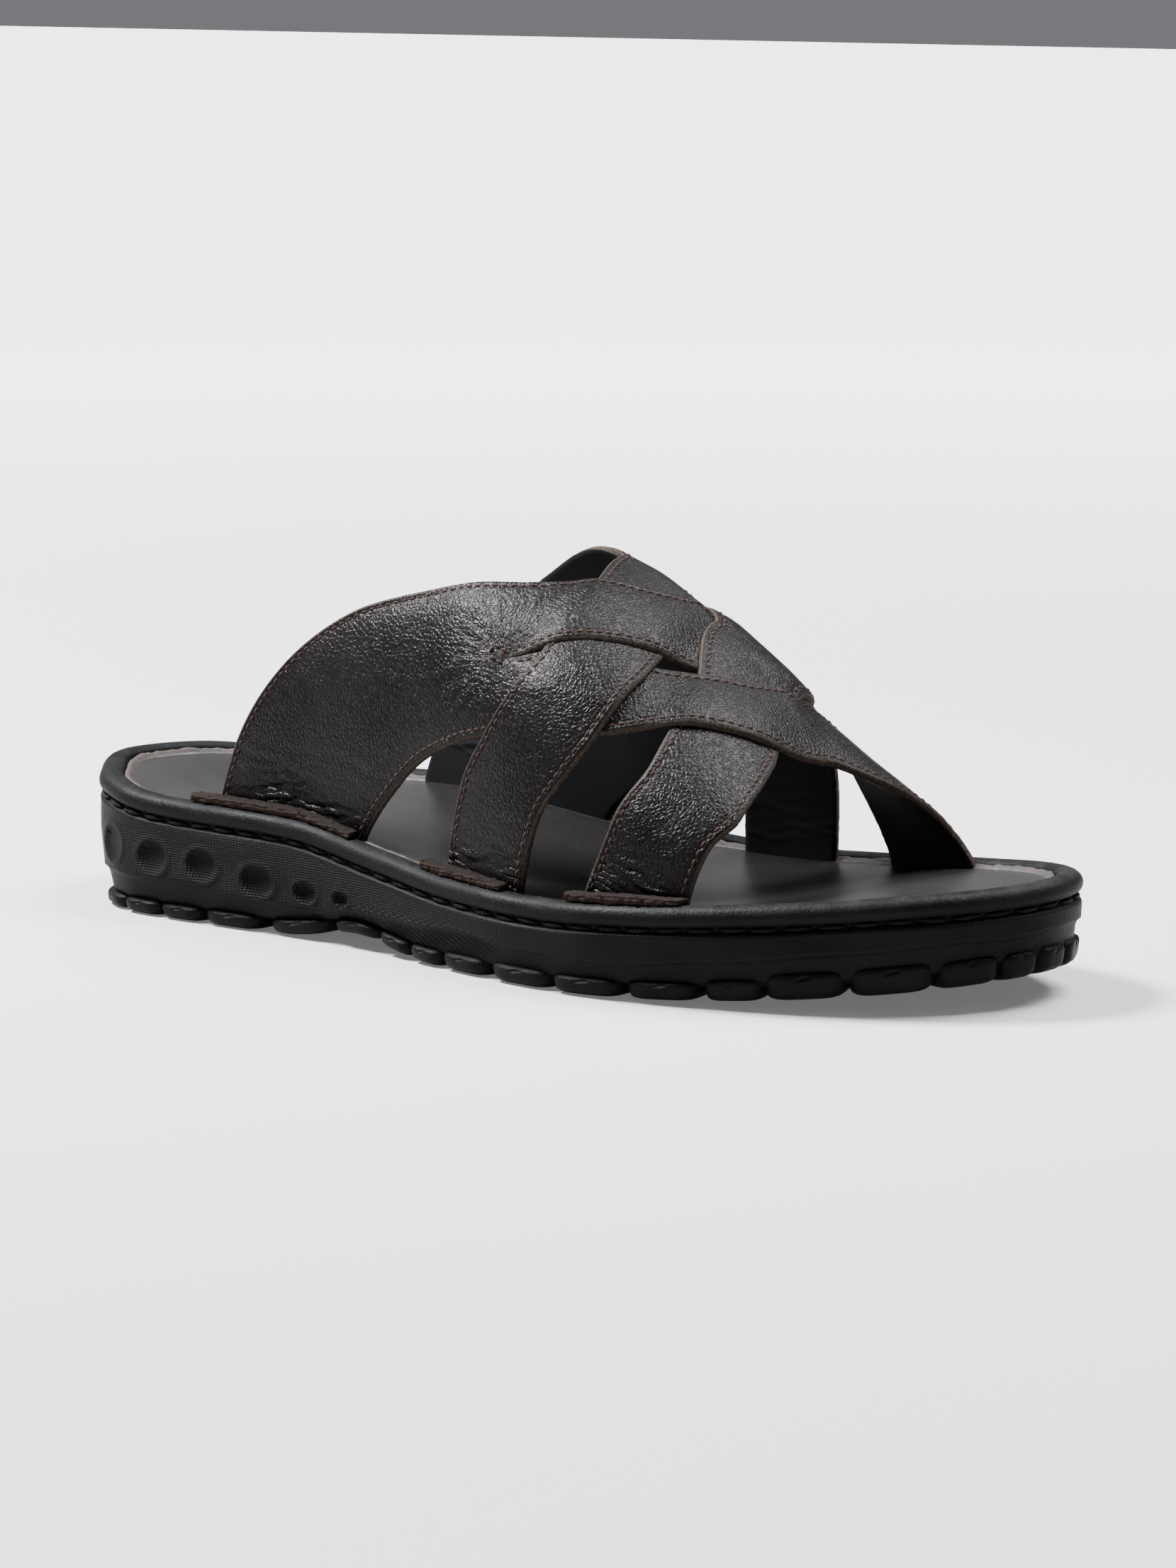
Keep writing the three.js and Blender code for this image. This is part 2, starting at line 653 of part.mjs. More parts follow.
function notchBody(side, from, to) {
  const steps = 8;
  const points = [];
  const faces = [];
  const near = sideLine(strapInset - 2, side);
  const far = sideLine(strapInset + strapWall + clearance, side);
  for (let k = 0; k <= steps; k += 1) {
    const x = soleLength * (from + (to - from) * k / steps) + clearance * (2 * k / steps - 1) * 2;
    const z = rimZ(x, side * ballWidth / 2);
    for (const [line, up] of [[near, -12], [far, -12], [far, 12], [near, 12]]) {
      points.push(new THREE.Vector3(x, readTable(line, 'x', 'y', x), z + up));
    }
  }
  for (let k = 0; k < steps; k += 1) {
    for (let i = 0; i < 4; i += 1) {
      const a = 4 * k + i;
      const b = 4 * k + ((i + 1) % 4);
      faces.push([a, b, b + 4], [a, b + 4, a + 4]);
    }
  }
  const end = 4 * steps;
  faces.push([0, 2, 1], [0, 3, 2], [end, end + 1, end + 2], [end, end + 2, end + 3]);
  return solidOf(closedBody(points, faces));
}

const lastOf = (rows) => rows[rows.length - 1];
const bases = [
  { side: -1, from: panels.outer.rear[0].rear, to: panels.outer.front[0].front },
  { side: -1, from: panels.inner.rear[0].rear, to: panels.inner.rear[0].front },
  { side: -1, from: panels.inner.front[0].rear, to: panels.inner.front[0].front },
  { side: 1, from: lastOf(panels.inner.rear).rear, to: lastOf(panels.inner.front).front },
  { side: 1, from: lastOf(panels.outer.rear).rear, to: lastOf(panels.outer.rear).front },
  { side: 1, from: lastOf(panels.outer.front).rear, to: lastOf(panels.outer.front).front }
];
for (const base of bases) footbed = footbed.subtract(notchBody(base.side, base.from, base.to));

// Raw leather strips on the rim: the outer base that each lies along, and how far it starts before that base
// and ends after it
const tabTable = [
  { name: 'tab_rear', base: bases[0], early: 5, late: 0 },
  { name: 'tab_middle', base: bases[1], early: 5, late: -2.5 },
  { name: 'tab_front', base: bases[2], early: 1.5, late: 1 }
];

function tabGeometry({ base, early, late }) {
  const steps = 6;
  const points = [];
  const faces = [];
  const near = sideLine(rimWidth - tabWidth, base.side);
  const far = sideLine(rimWidth - 0.1, base.side);
  for (let k = 0; k <= steps; k += 1) {
    const start = base.from * soleLength - early;
    const x = start + (base.to * soleLength + late - start) * k / steps;
    const nearY = readTable(near, 'x', 'y', x);
    const farY = readTable(far, 'x', 'y', x);
    const z = rimZ(x, nearY) + clearance;
    points.push(new THREE.Vector3(x, nearY, z), new THREE.Vector3(x, farY, z));
    points.push(new THREE.Vector3(x, farY, z + tabThickness), new THREE.Vector3(x, nearY, z + tabThickness));
  }
  for (let k = 0; k < steps; k += 1) {
    for (let i = 0; i < 4; i += 1) {
      const a = 4 * k + i;
      const b = 4 * k + ((i + 1) % 4);
      faces.push([a, b, b + 4], [a, b + 4, a + 4]);
    }
  }
  const end = 4 * steps;
  faces.push([0, 2, 1], [0, 3, 2], [end, end + 1, end + 2], [end, end + 2, end + 3]);
  return closedBody(points, faces);
}

const rubber = new THREE.MeshStandardMaterial({ color: 0x1d1e20, roughness: 0.72, metalness: 0 });
const leather = new THREE.MeshStandardMaterial({ color: 0x2b211f, roughness: 0.48, metalness: 0 });
const footbedLeather = new THREE.MeshStandardMaterial({ color: 0x2c2827, roughness: 0.55, metalness: 0 });
const rawLeather = new THREE.MeshStandardMaterial({ color: 0x4a332a, roughness: 0.85, metalness: 0 });

const sandal = new THREE.Group();
function addPiece(name, geometry, material) {
  const piece = new THREE.Mesh(geometry, material);
  piece.name = name;
  sandal.add(piece);
}

addPiece('sole', geometryOf(sole), rubber);
addPiece('insole', geometryOf(footbed), footbedLeather);
addPiece('upper', geometryOf(upper), leather);
for (const row of tabTable) addPiece(row.name, tabGeometry(row), rawLeather);
sandal.position.set(-middle.x, -middle.y, 0);

export default sandal;
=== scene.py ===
import math

import bmesh
import bpy
import numpy as np
from mathutils import Matrix, Vector


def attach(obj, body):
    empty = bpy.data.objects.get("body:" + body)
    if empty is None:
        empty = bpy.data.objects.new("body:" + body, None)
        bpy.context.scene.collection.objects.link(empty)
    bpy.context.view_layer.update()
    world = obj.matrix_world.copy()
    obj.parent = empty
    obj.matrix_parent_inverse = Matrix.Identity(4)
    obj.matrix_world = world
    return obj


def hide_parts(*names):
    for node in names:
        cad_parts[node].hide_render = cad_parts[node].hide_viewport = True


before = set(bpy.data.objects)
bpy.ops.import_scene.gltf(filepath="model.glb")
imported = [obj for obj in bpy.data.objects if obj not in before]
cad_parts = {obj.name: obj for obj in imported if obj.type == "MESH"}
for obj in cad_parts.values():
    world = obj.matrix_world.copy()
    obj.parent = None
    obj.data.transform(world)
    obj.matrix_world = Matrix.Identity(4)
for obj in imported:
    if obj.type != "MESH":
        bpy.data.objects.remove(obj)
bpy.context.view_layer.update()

# ----------------------------------------
# Rubber unit sole. One moulding of dense black rubber: a rounded rim bead over a stitch groove, a wall with
# oval dimples and a fine cross hatch, a ledge, and a tread that lifts at the waist and the toe.
# Lengths are in millimetres from the heel's end; whatever is made is turned into the frame's metres.
SOLE_LENGTH = 290.0
BALL_WIDTH = 103.0
HEEL_SIDE = 31.0
LUG_HEIGHT = 3.5
RIM_RISE = 5.5
RIM_WIDTH = 6.5
HEEL_TUCK = 8.0
TOE_SPRING = 8.0
WAIST_LIFT = 3.6
HEEL_LIFT = 4.2
LEDGE_OVER_TREAD = 2.4
RING_POINTS = 840
WALL_STEPS = 20
HATCH_PITCH = 0.0019
RIB_PITCH = 0.0013
RUBBER = (0.0036, 0.0037, 0.0041)
RUBBER_WORN = (0.0110, 0.0112, 0.0120)
RUBBER_DUST = (0.045, 0.044, 0.043)
rng = np.random.default_rng(7)

outline_rows = [
    # share of the length, outer and inner half width as shares of the ball width
    (0, 0, 0), (0.03, 0.185, 0.262), (0.07, 0.306, 0.336), (0.12, 0.362, 0.362), (0.18, 0.372, 0.362),
    (0.3, 0.374, 0.33), (0.4, 0.402, 0.311), (0.5, 0.465, 0.341), (0.6, 0.517, 0.422), (0.66, 0.528, 0.461),
    (0.72, 0.508, 0.477), (0.8, 0.449, 0.464), (0.88, 0.352, 0.43), (0.94, 0.238, 0.368),
    (0.98, 0.1, 0.272), (1, -0.09, 0.09),
]
side_rows = [
    # share, groove height, ledge height, rise of the inner side at the arch, as shares of the heel side
    (0, 1, 0.36, 0), (0.07, 0.94, 0.34, 0), (0.15, 0.85, 0.32, 0.01), (0.3, 0.81, 0.27, 0.11),
    (0.42, 0.65, 0.3, 0.24), (0.52, 0.56, 0.33, 0.17), (0.6, 0.54, 0.3, 0.07), (0.7, 0.57, 0.3, 0),
    (0.85, 0.67, 0.44, 0), (0.93, 0.74, 0.52, 0), (1, 0.79, 0.6, 0),
]


def read(rows, column, at):
    """Column of a table at places along its first column, by a smooth curve through the rows."""
    rows = np.asarray(rows, float)
    key, value = rows[:, 0], rows[:, column]
    step = np.diff(key)
    slope = np.diff(value) / step
    tangent = np.concatenate([slope[:1], np.zeros(len(key) - 2), slope[-1:]])
    same = slope[:-1] * slope[1:] > 0
    total = np.where(same, slope[:-1] + slope[1:], 1)
    tangent[1:-1] = np.where(same, 2 * slope[:-1] * slope[1:] / total, 0)
    at = np.clip(np.asarray(at, float), key[0], key[-1])
    i = np.clip(np.searchsorted(key, at) - 1, 0, len(step) - 1)
    t = (at - key[i]) / step[i]
    return ((2 * t**3 - 3 * t**2 + 1) * value[i] + (t**3 - 2 * t**2 + t) * step[i] * tangent[i]
            + (3 * t**2 - 2 * t**3) * value[i + 1] + (t**3 - t**2) * step[i] * tangent[i + 1])


round_rows = [(math.acos(1 - 2 * share) / math.pi, outer, inner) for share, outer, inner in outline_rows]


def outline_at(turn, side):
    """Point of the sole's outline at a turn from the heel (0) to the toe (1)."""
    turn = np.asarray(turn, float)
    x = SOLE_LENGTH * (1 - np.cos(np.pi * turn)) / 2
    return np.stack([x, side * read(round_rows, 1 if side < 0 else 2, turn) * BALL_WIDTH], -1)


def smooth(low, high, value):
    t = np.clip((value - low) / (high - low), 0, 1)
    return t * t * (3 - 2 * t)


def groove_z(x, y):
    blend = smooth(0, BALL_WIDTH * 0.3, y)
    return (read(side_rows, 1, x / SOLE_LENGTH) + read(side_rows, 3, x / SOLE_LENGTH) * blend) * HEEL_SIDE


def tread_z(x):
    s = x / SOLE_LENGTH
    spring = TOE_SPRING * np.maximum((s - 0.62) / 0.38, 0) ** 2
    waist = WAIST_LIFT * np.exp(-(((s - 0.385) / 0.055) ** 2))
    return spring + waist + HEEL_LIFT * np.maximum((0.055 - s) / 0.055, 0) ** 1.3


def tuck(x):
    """How far the tread is drawn in under the back of the heel."""
    return HEEL_TUCK * smooth(0, 1, 1 - np.asarray(x, float) / (3 * HEEL_TUCK))


def walk_of(points):
    """How far along a line of points each of them lies."""
    return np.concatenate([[0], np.cumsum(np.linalg.norm(np.diff(points, axis=0), axis=1))])


def on_walk(points, walk, at):
    return np.stack([np.interp(at, walk, column) for column in points.T], -1)


fine = np.linspace(0, 1, 1600)
loop = np.vstack([outline_at(fine, -1)[:-1], outline_at(fine[::-1], 1)])
walk = walk_of(loop)
ring_walk = np.linspace(0, walk[-1], RING_POINTS, endpoint=False)
ring = on_walk(loop, walk, ring_walk)
rx, ry = ring.T
ahead = np.roll(ring, -1, 0) - np.roll(ring, 1, 0)
ring_out = np.stack([ahead[:, 1], -ahead[:, 0]], -1) / np.linalg.norm(ahead, axis=1)[:, None]
MIDDLE_Y = (loop[:, 1].max() + loop[:, 1].min()) / 2


def to_frame(points):
    return (np.asarray(points, float) - (SOLE_LENGTH / 2, MIDDLE_Y, 0)) / 1000


def linked(name, data):
    made = bpy.data.objects.new(name, data)
    bpy.context.scene.collection.objects.link(made)
    return made


def grid_faces(rows, columns, closed=False):
    """Quads of a grid of points; a closed grid joins its last column to its first."""
    start = np.arange(rows - 1)[:, None] * columns
    here = np.arange(columns if closed else columns - 1)
    a, b = start + here, start + (here + 1) % columns
    return np.stack([a, b, b + columns, a + columns], -1).reshape(-1, 4)


def mesh_object(name, points, faces, chosen, floats=None, uv=None):
    """Smooth mesh object with named float attributes and a UV map, all from arrays."""
    mesh = bpy.data.meshes.new(name)
    mesh.from_pydata(to_frame(points).reshape(-1, 3).tolist(), [], [list(map(int, f)) for f in faces])
    for key, values in (floats or {}).items():
        layer = mesh.attributes.new(key, "FLOAT", "POINT")
        layer.data.foreach_set("value", np.asarray(values, np.float32).ravel())
    if uv is not None:
        corner = np.empty(len(mesh.loops), np.int32)
        mesh.loops.foreach_get("vertex_index", corner)
        layer = mesh.uv_layers.new(name="UVMap")
        layer.data.foreach_set("uv", np.asarray(uv, np.float32).reshape(-1, 2)[corner].ravel())
    mesh.polygons.foreach_set("use_smooth", [True] * len(mesh.polygons))
    mesh.materials.append(chosen)
    return linked(name, mesh)


def faces_out(piece):
    """Turns a piece's faces outwards and joins points that lie on each other."""
    shape = bmesh.new()
    shape.from_mesh(piece.data)
    bmesh.ops.remove_doubles(shape, verts=shape.verts, dist=2e-6)
    bmesh.ops.recalc_face_normals(shape, faces=shape.faces)
    shape.to_mesh(piece.data)
    shape.free()


def fill(socket, value):
    """Sets an input to a value, or links it to another node's output."""
    value = getattr(value, "socket", value)
    if isinstance(value, bpy.types.NodeSocket):
        socket.id_data.links.new(value, socket)
    else:
        socket.default_value = (*value[:3], 1) if socket.type == "RGBA" else value


def add(tree, kind, inputs=None, out=0, **settings):
    """New node with its settings and inputs; gives one of its outputs."""
    made = tree.nodes.new(kind)
    for key, value in settings.items():
        setattr(made, key, value)
    for key, value in (inputs or {}).items():
        fill(made.inputs[key], value)
    return Value(made.outputs[out])


class Value:
    """Output of a node that can be counted with, which adds math nodes to its tree."""

    def __init__(self, socket):
        self.socket, self.tree = socket, socket.id_data

    def math(self, operation, other=0.0):
        return add(self.tree, "ShaderNodeMath", {0: self, 1: other}, operation=operation)

    def __add__(self, other):
        return self.math("ADD", other)

    def __sub__(self, other):
        return self.math("SUBTRACT", other)

    def __mul__(self, other):
        return self.math("MULTIPLY", other)

    def __pow__(self, other):
        return self.math("POWER", other)

    def ramp(self, low, high, to_low=0.0, to_high=1.0):
        return add(self.tree, "ShaderNodeMapRange", {
            "Value": self, "From Min": low, "From Max": high, "To Min": to_low, "To Max": to_high},
            interpolation_type="SMOOTHSTEP")

    def split(self):
        parts = add(self.tree, "ShaderNodeSeparateXYZ", {"Vector": self})
        return [Value(socket) for socket in parts.socket.node.outputs]


def noise(place, scale, detail, roughness=0.5, out=0):
    return add(place.tree, "ShaderNodeTexNoise", {
        "Vector": place, "Scale": scale, "Detail": detail, "Roughness": roughness}, out)


def marks(tree, *keys):
    """Float attributes of the mesh, by name."""
    return [add(tree, "ShaderNodeAttribute", out="Fac", attribute_name=key) for key in keys]


def mix(factor, a, b):
    return add(factor.tree, "ShaderNodeMix", {"Factor": factor, 6: a, 7: b}, out=2, data_type="RGBA")


def shade(colour, amount):
    return tuple(amount * c for c in colour)


def node_group(name, kind, inputs):
    """New node group whose first entry is its output; gives the tree, its inputs and its output."""
    tree = bpy.data.node_groups.new(name, kind)
    for way, (key, data, *value) in zip(["OUTPUT"] + ["INPUT"] * len(inputs), inputs):
        socket = tree.interface.new_socket(key, in_out=way, socket_type="NodeSocket" + data)
        if value:
            socket.default_value = value[0]
    given = {socket.name: Value(socket) for socket in tree.nodes.new("NodeGroupInput").outputs}
    return tree, given, tree.nodes.new("NodeGroupOutput").inputs[0]


def use(group, place, **inputs):
    return add(place.tree, "ShaderNodeGroup", {"Vector": place, **inputs}, node_tree=group)


def material(name):
    """New material; gives it, its tree and its place on the object."""
    made = bpy.data.materials.new(name)
    made.use_nodes = True
    return made, made.node_tree, add(made.node_tree, "ShaderNodeTexCoord", out="Object")


def surface(tree, inputs, height=None, distance=0.0, strength=0.0):
    """Sets the inputs of a material's main shader, and a bump from a height."""
    if height is not None:
        inputs["Normal"] = add(tree, "ShaderNodeBump", {
            "Height": height, "Distance": distance, "Strength": strength})
    for key, value in inputs.items():
        fill(tree.nodes["Principled BSDF"].inputs[key], value)


# Wear along raised edges: a mask that noise breaks up.
wear, given, result = node_group("edge_wear", "ShaderNodeTree", [
    ("Worn", "Float"), ("Vector", "Vector"), ("Mask", "Float", 0.0), ("Amount", "Float", 0.5),
    ("Scale", "Float", 120.0)])
patches = noise(given["Vector"], given["Scale"], 6.0, 0.65)
fill(result, given["Mask"] * patches.ramp(0.38, 0.66) * given["Amount"])

# Fine dust that lies on faces that look up.
dust, given, result = node_group("dust", "ShaderNodeTree", [
    ("Dust", "Float"), ("Vector", "Vector"), ("Amount", "Float", 0.05)])
up = add(dust, "ShaderNodeNewGeometry", out="Normal").split()[2]
fill(result, up.ramp(0.1, 0.95) * noise(given["Vector"], 900.0, 3.0).ramp(0.45, 0.75) * given["Amount"])

rubber, tree, place = material("sole_rubber")
along, up, _ = add(tree, "ShaderNodeTexCoord", out="UV").split()
hatch, ribs, bead, pin = marks(tree, "hatch", "ribs", "bead", "pin")
mottle = noise(place, 55.0, 5.0)
colour = mix(mottle.ramp(0.3, 0.7), shade(RUBBER, 0.8), shade(RUBBER, 1.35))
colour = mix(use(wear, place, Mask=bead, Amount=0.9, Scale=160.0), colour, RUBBER_WORN)
colour = mix(use(dust, place, Amount=0.10), colour, RUBBER_DUST)
# Painted shade: the pin holes are painted near black, as the shade inside them.
colour = mix(pin, colour, (0.002, 0.002, 0.002))
lines = [((along + up * slope) * (2 * math.pi / HATCH_PITCH)).math("SINE") for slope in (1.5, -1.5)]
rib = ((along * 0.42 + up) * (2 * math.pi / RIB_PITCH)).math("SINE")
height = lines[0] * lines[1] * hatch * 1.1 + rib * ribs * 0.9 + noise(place, 1400.0, 2.0) * 0.9 - pin * 3.0
surface(tree, {"Base Color": colour, "Roughness": mottle.ramp(0.3, 0.7, 0.48, 0.6),
               "Specular IOR Level": 0.042}, height, 0.00022, 0.8)

wall_rows = [
    # inset from the outline, level that the height is counted from, height
    (5.6, "tread", 0), (4.2, "tread", 0), (3.3, "tread", 0.3), (2.6, "tread", 0.95), (2.2, "tread", 1.7),
    (1.75, "ledge", -1.5), (1.5, "ledge", -0.9), (1.3, "ledge", -0.5), (0.85, "ledge", -0.1),
    (0.45, "ledge", 0.25), (0.3, "ledge", 0.8), (0.3, "groove", -2.3), (0.32, "groove", -1.8),
    (0.6, "groove", -1.35), (1.25, "groove", -1.05), (1.85, "groove", -0.7), (2.0, "groove", -0.25),
    (1.85, "groove", 0.2), (1.25, "groove", 0.5), (0.72, "groove", 0.85), (0.3, "groove", 1.4),
    (0.05, "groove", 2.1), (0, "groove", 2.8), (0.18, "groove", 3.6), (0.62, "groove", 4.35),
    (1.3, "groove", 4.95), (2.2, "groove", 5.35), (3.3, "groove", 5.5), (4.4, "groove", 5.45),
    (5.3, "groove", 5.2), (6.0, "groove", 4.75), (6.4, "groove", 4.1), (6.5, "groove", 3.2),
    (6.5, "groove", 0),
]
dimple_rows = [
    # place and height on the wall, length and height of the oval, all in shares as the sole's tables
    (0.092, 0.57, 0.031, 0.29), (0.148, 0.51, 0.034, 0.26), (0.207, 0.5, 0.034, 0.25),
    (0.272, 0.43, 0.036, 0.25), (0.329, 0.4, 0.026, 0.17), (0.374, 0.4, 0.018, 0.12),
]
levels = {"tread": tread_z(rx) + LUG_HEIGHT, "groove": groove_z(rx, ry)}
levels["ledge"] = (np.maximum(read(side_rows, 2, rx / SOLE_LENGTH) * HEEL_SIDE,
                              levels["tread"] + LEDGE_OVER_TREAD)
                   + 0.25 * np.sin(ring_walk / 9.0) + 0.2 * np.sin(ring_walk / 5.3))
rings = []
for inset, level, rise in wall_rows:
    drawn = {"tread": 1.0, "ledge": 0.4, "groove": 0.0}[level] * tuck(rx)
    rings.append((inset + drawn, levels[level] + rise))
    if (inset, level) == (0.3, "ledge"):
        low, high = rings[-1], levels["groove"] - 2.3
        rings += [(0.3 + (low[0] - 0.3) * (1 - part) ** 2, low[1] + (high - low[1]) * part)
                  for part in np.arange(1, WALL_STEPS) / WALL_STEPS]
insets, heights = np.array(rings).swapaxes(0, 1)
wall = (heights > levels["ledge"] + 0.3) & (heights < levels["groove"] - 1.9)
pin = np.zeros_like(heights)
for share, up_share, long, tall in dimple_rows:
    dx = (rx[None] - share * SOLE_LENGTH) / (long * SOLE_LENGTH / 2)
    dz = (heights - up_share * HEEL_SIDE) / (tall * HEEL_SIDE / 2)
    inside = np.clip(1 - dx**2 - dz**2, 0, 1)
    insets += np.where(wall, 1.1 * inside**0.6 - 0.3 * np.exp(-((dx**2 + dz**2 - 1.4) / 0.4) ** 2), 0)
    near = np.hypot((dx + 0.62) * long * SOLE_LENGTH / 2, (dz - 0.62) * tall * HEEL_SIDE / 2)
    pin = np.maximum(pin, np.where(wall, 1 - smooth(0.3, 0.8, near), 0))
insets += np.where(wall, 0.12 * np.sin(ring_walk / 11 + heights / 2.5), 0)
grid = np.stack([rx - ring_out[:, 0] * insets, ry - ring_out[:, 1] * insets, heights], -1)
hatch = wall * (smooth(26, 34, rx) * (1 - smooth(150, 176, rx)))[None] * (1 - smooth(0.3, 1, pin))
ribs = ((heights < levels["ledge"] - 0.2) | wall) * (
    smooth(100, 112, rx) * (1 - smooth(158, 172, rx)))[None] * (1 - smooth(10, 13, heights))
bead = smooth(2.6, 5.2, heights - levels["groove"]) * (0.4 + 0.6 * smooth(90, 220, rx))[None]
sole = mesh_object("sole_body", grid, grid_faces(*heights.shape, closed=True), rubber,
                   {"hatch": hatch, "ribs": ribs, "bead": bead, "pin": pin},
                   np.stack(np.broadcast_arrays(ring_walk[None] / 1000, heights / 1000), -1))
faces_out(sole)
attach(sole, "root")
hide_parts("sole")

# ----------------------------------------
# Tread face of the sole. The flat skin between the lugs, moulded with the sole, seen only from below.
# It is drawn in under the back of the heel together with the wall.
TREAD_INSET = 5.4
TREAD_COLUMNS = 12


def tread_inside(x, inset):
    """Height of the tread at a place inside the outline, where the tuck has drawn it in with the wall."""
    from_heel = np.linspace(0, SOLE_LENGTH, 600)
    drawn = from_heel + tuck(from_heel) * (1 + inset / HEEL_TUCK)
    return tread_z(np.interp(x, drawn, from_heel))


def side_line(inset, side):
    """One side of the outline at an inset, as y over x."""
    moved = ring - ring_out * np.reshape(inset, (-1, 1))
    tip = int(np.argmax(rx))
    rows = moved[1:tip] if side < 0 else moved[tip + 1:]
    return rows[np.argsort(rows[:, 0])].T


xs = np.linspace(5.2 + HEEL_TUCK, SOLE_LENGTH - 5, 120)
outer_y, inner_y = (np.interp(xs, *side_line(TREAD_INSET + tuck(rx), side)) for side in (-1, 1))
plate = np.stack(np.broadcast_arrays(
    xs[:, None], outer_y[:, None] + (inner_y - outer_y)[:, None] * np.linspace(0, 1, TREAD_COLUMNS),
    (tread_inside(xs, TREAD_INSET) + LUG_HEIGHT)[:, None]), -1)
tread = mesh_object("sole_tread", plate, grid_faces(len(xs), TREAD_COLUMNS), rubber,
                    uv=plate[..., :2] / 1000)
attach(tread, "root")

# ----------------------------------------
# Lugs of the tread. Rounded blocks of the same rubber, set round the edge so that their flanks stand proud
# of the wall, with a pin mark on each flank, and a second field of lower blocks under the heel and the ball.
LUG_BREADTH = 21.0
LUG_INSET = 0.5
LUG_TUCK = 1.2
INNER_LUG_HALF = 2.1
SQUARENESS = 4.6
edge_lugs = [
    # share of the length, length as a share of the sole's, climb up the wall in lug heights
    (0, 0.04, 0.1), (0.022, 0.045, 0.15), (0.072, 0.058, 0.2), (0.127, 0.047, 0.2), (0.176, 0.048, 0.2),
    (0.236, 0.062, 0.25), (0.314, 0.068, 0.25), (0.385, 0.055, 0.1), (0.436, 0.041, 0.2),
    (0.478, 0.041, 0.3), (0.528, 0.055, 0.4), (0.598, 0.066, 0.45), (0.671, 0.066, 0.45),
    (0.743, 0.063, 0.5), (0.804, 0.05, 0.75), (0.86, 0.066, 1.15), (0.923, 0.067, 1.2), (0.97, 0.053, 1.1),
    (0.993, 0.036, 1), (1, 0.036, 1),
]
inner_lugs = [
    # share, side place, length share, breadth in lug breadths
    (0.09, 0, 0.04, 1.2), (0.15, 0, 0.045, 0.95), (0.21, 0, 0.045, 0.95), (0.29, 0, 0.06, 0.8),
    (0.56, 0, 0.05, 1.1), (0.63, -0.24, 0.055, 0.95), (0.63, 0.24, 0.055, 0.95),
    (0.705, -0.24, 0.055, 0.95), (0.705, 0.24, 0.055, 0.95), (0.777, 0.06, 0.05, 1.3),
    (0.84, 0.1, 0.045, 1.1), (0.895, 0.2, 0.038, 0.8),
]


def set_out(given, shape, result):
    """Puts a shape on every point by its turn and size attributes, makes it real, sets its material."""
    tree = shape.tree
    turn, size = (add(tree, "GeometryNodeInputNamedAttribute", {"Name": key}, data_type="FLOAT_VECTOR")
                  for key in ("turn", "size"))
    laid = add(tree, "GeometryNodeInstanceOnPoints", {
        "Points": given["Geometry"], "Instance": add(tree, "GeometryNodeSetShadeSmooth", {"Geometry": shape}),
        "Rotation": add(tree, "FunctionNodeEulerToRotation", {"Euler": turn}), "Scale": size})
    real = add(tree, "GeometryNodeRealizeInstances", {"Geometry": laid})
    fill(result, add(tree, "GeometryNodeSetMaterial", {"Geometry": real, "Material": given["Material"]}))


def grow(name, points, turns, sizes, tree, **values):
    """Plain mesh object grown by a node tree on points that carry turns and sizes."""
    mesh = bpy.data.meshes.new(name)
    mesh.from_pydata(to_frame(points).tolist(), [], [])
    for key, rows in (("turn", turns), ("size", np.asarray(sizes) / 1000)):
        layer = mesh.attributes.new(key, "FLOAT_VECTOR", "POINT")
        layer.data.foreach_set("vector", np.asarray(rows, np.float32).ravel())
    piece = linked(name, mesh)
    modifier = piece.modifiers.new("grow", "NODES")
    modifier.node_group = tree
    for item in tree.interface.items_tree:
        if item.in_out == "INPUT" and item.name in values:
            modifier[item.identifier] = values[item.name]
    grown = piece.evaluated_get(bpy.context.evaluated_depsgraph_get())
    plain = bpy.data.meshes.new_from_object(grown)
    piece.modifiers.remove(modifier)
    piece.data = plain
    return piece


def turn_of(forward, up):
    """Euler turn that lays X along forward and Z as near up as it goes."""
    forward = Vector(forward).normalized()
    side = Vector(up).cross(forward).normalized()
    rows = Matrix((forward, side, forward.cross(side))).transposed()
    return tuple(rows.to_euler())


lug_tree, given, result = node_group("lugs", "GeometryNodeTree", [
    ("Geometry", "Geometry"), ("Geometry", "Geometry"), ("Squareness", "Float", SQUARENESS),
    ("Taper", "Float", 0.1), ("Material", "Material")])
block = add(lug_tree, "GeometryNodeMeshCube", {
    "Size": (2, 2, 2), "Vertices X": 9, "Vertices Y": 9, "Vertices Z": 9})
spot = add(lug_tree, "GeometryNodeInputPosition")
powers = [part.math("ABSOLUTE") ** given["Squareness"] for part in spot.split()]
reach = (powers[0] + powers[1] + powers[2]) ** (given["Squareness"] ** -1.0 * -1.0)
x, y, z = add(lug_tree, "ShaderNodeVectorMath", {0: spot, "Scale": reach}, operation="SCALE").split()
slim = (z - 1.0) * 0.5 * given["Taper"] + 1.0
tapered = add(lug_tree, "ShaderNodeCombineXYZ", {"X": x * slim, "Y": y * slim, "Z": z})
placed = add(lug_tree, "GeometryNodeSetPosition", {"Geometry": block, "Position": tapered})
# The pin mark is sunk by the rubber's bump, and painted darker there as painted shade.
mark = (x ** 2.0 + (z - 0.45) ** 2.0 + y.math("GREATER_THAN") * 9.0).math("LESS_THAN", 0.02)
marked = add(lug_tree, "GeometryNodeStoreNamedAttribute", {
    "Geometry": placed, "Name": "pin", "Value": mark}, data_type="FLOAT", domain="POINT")
set_out(given, marked, result)

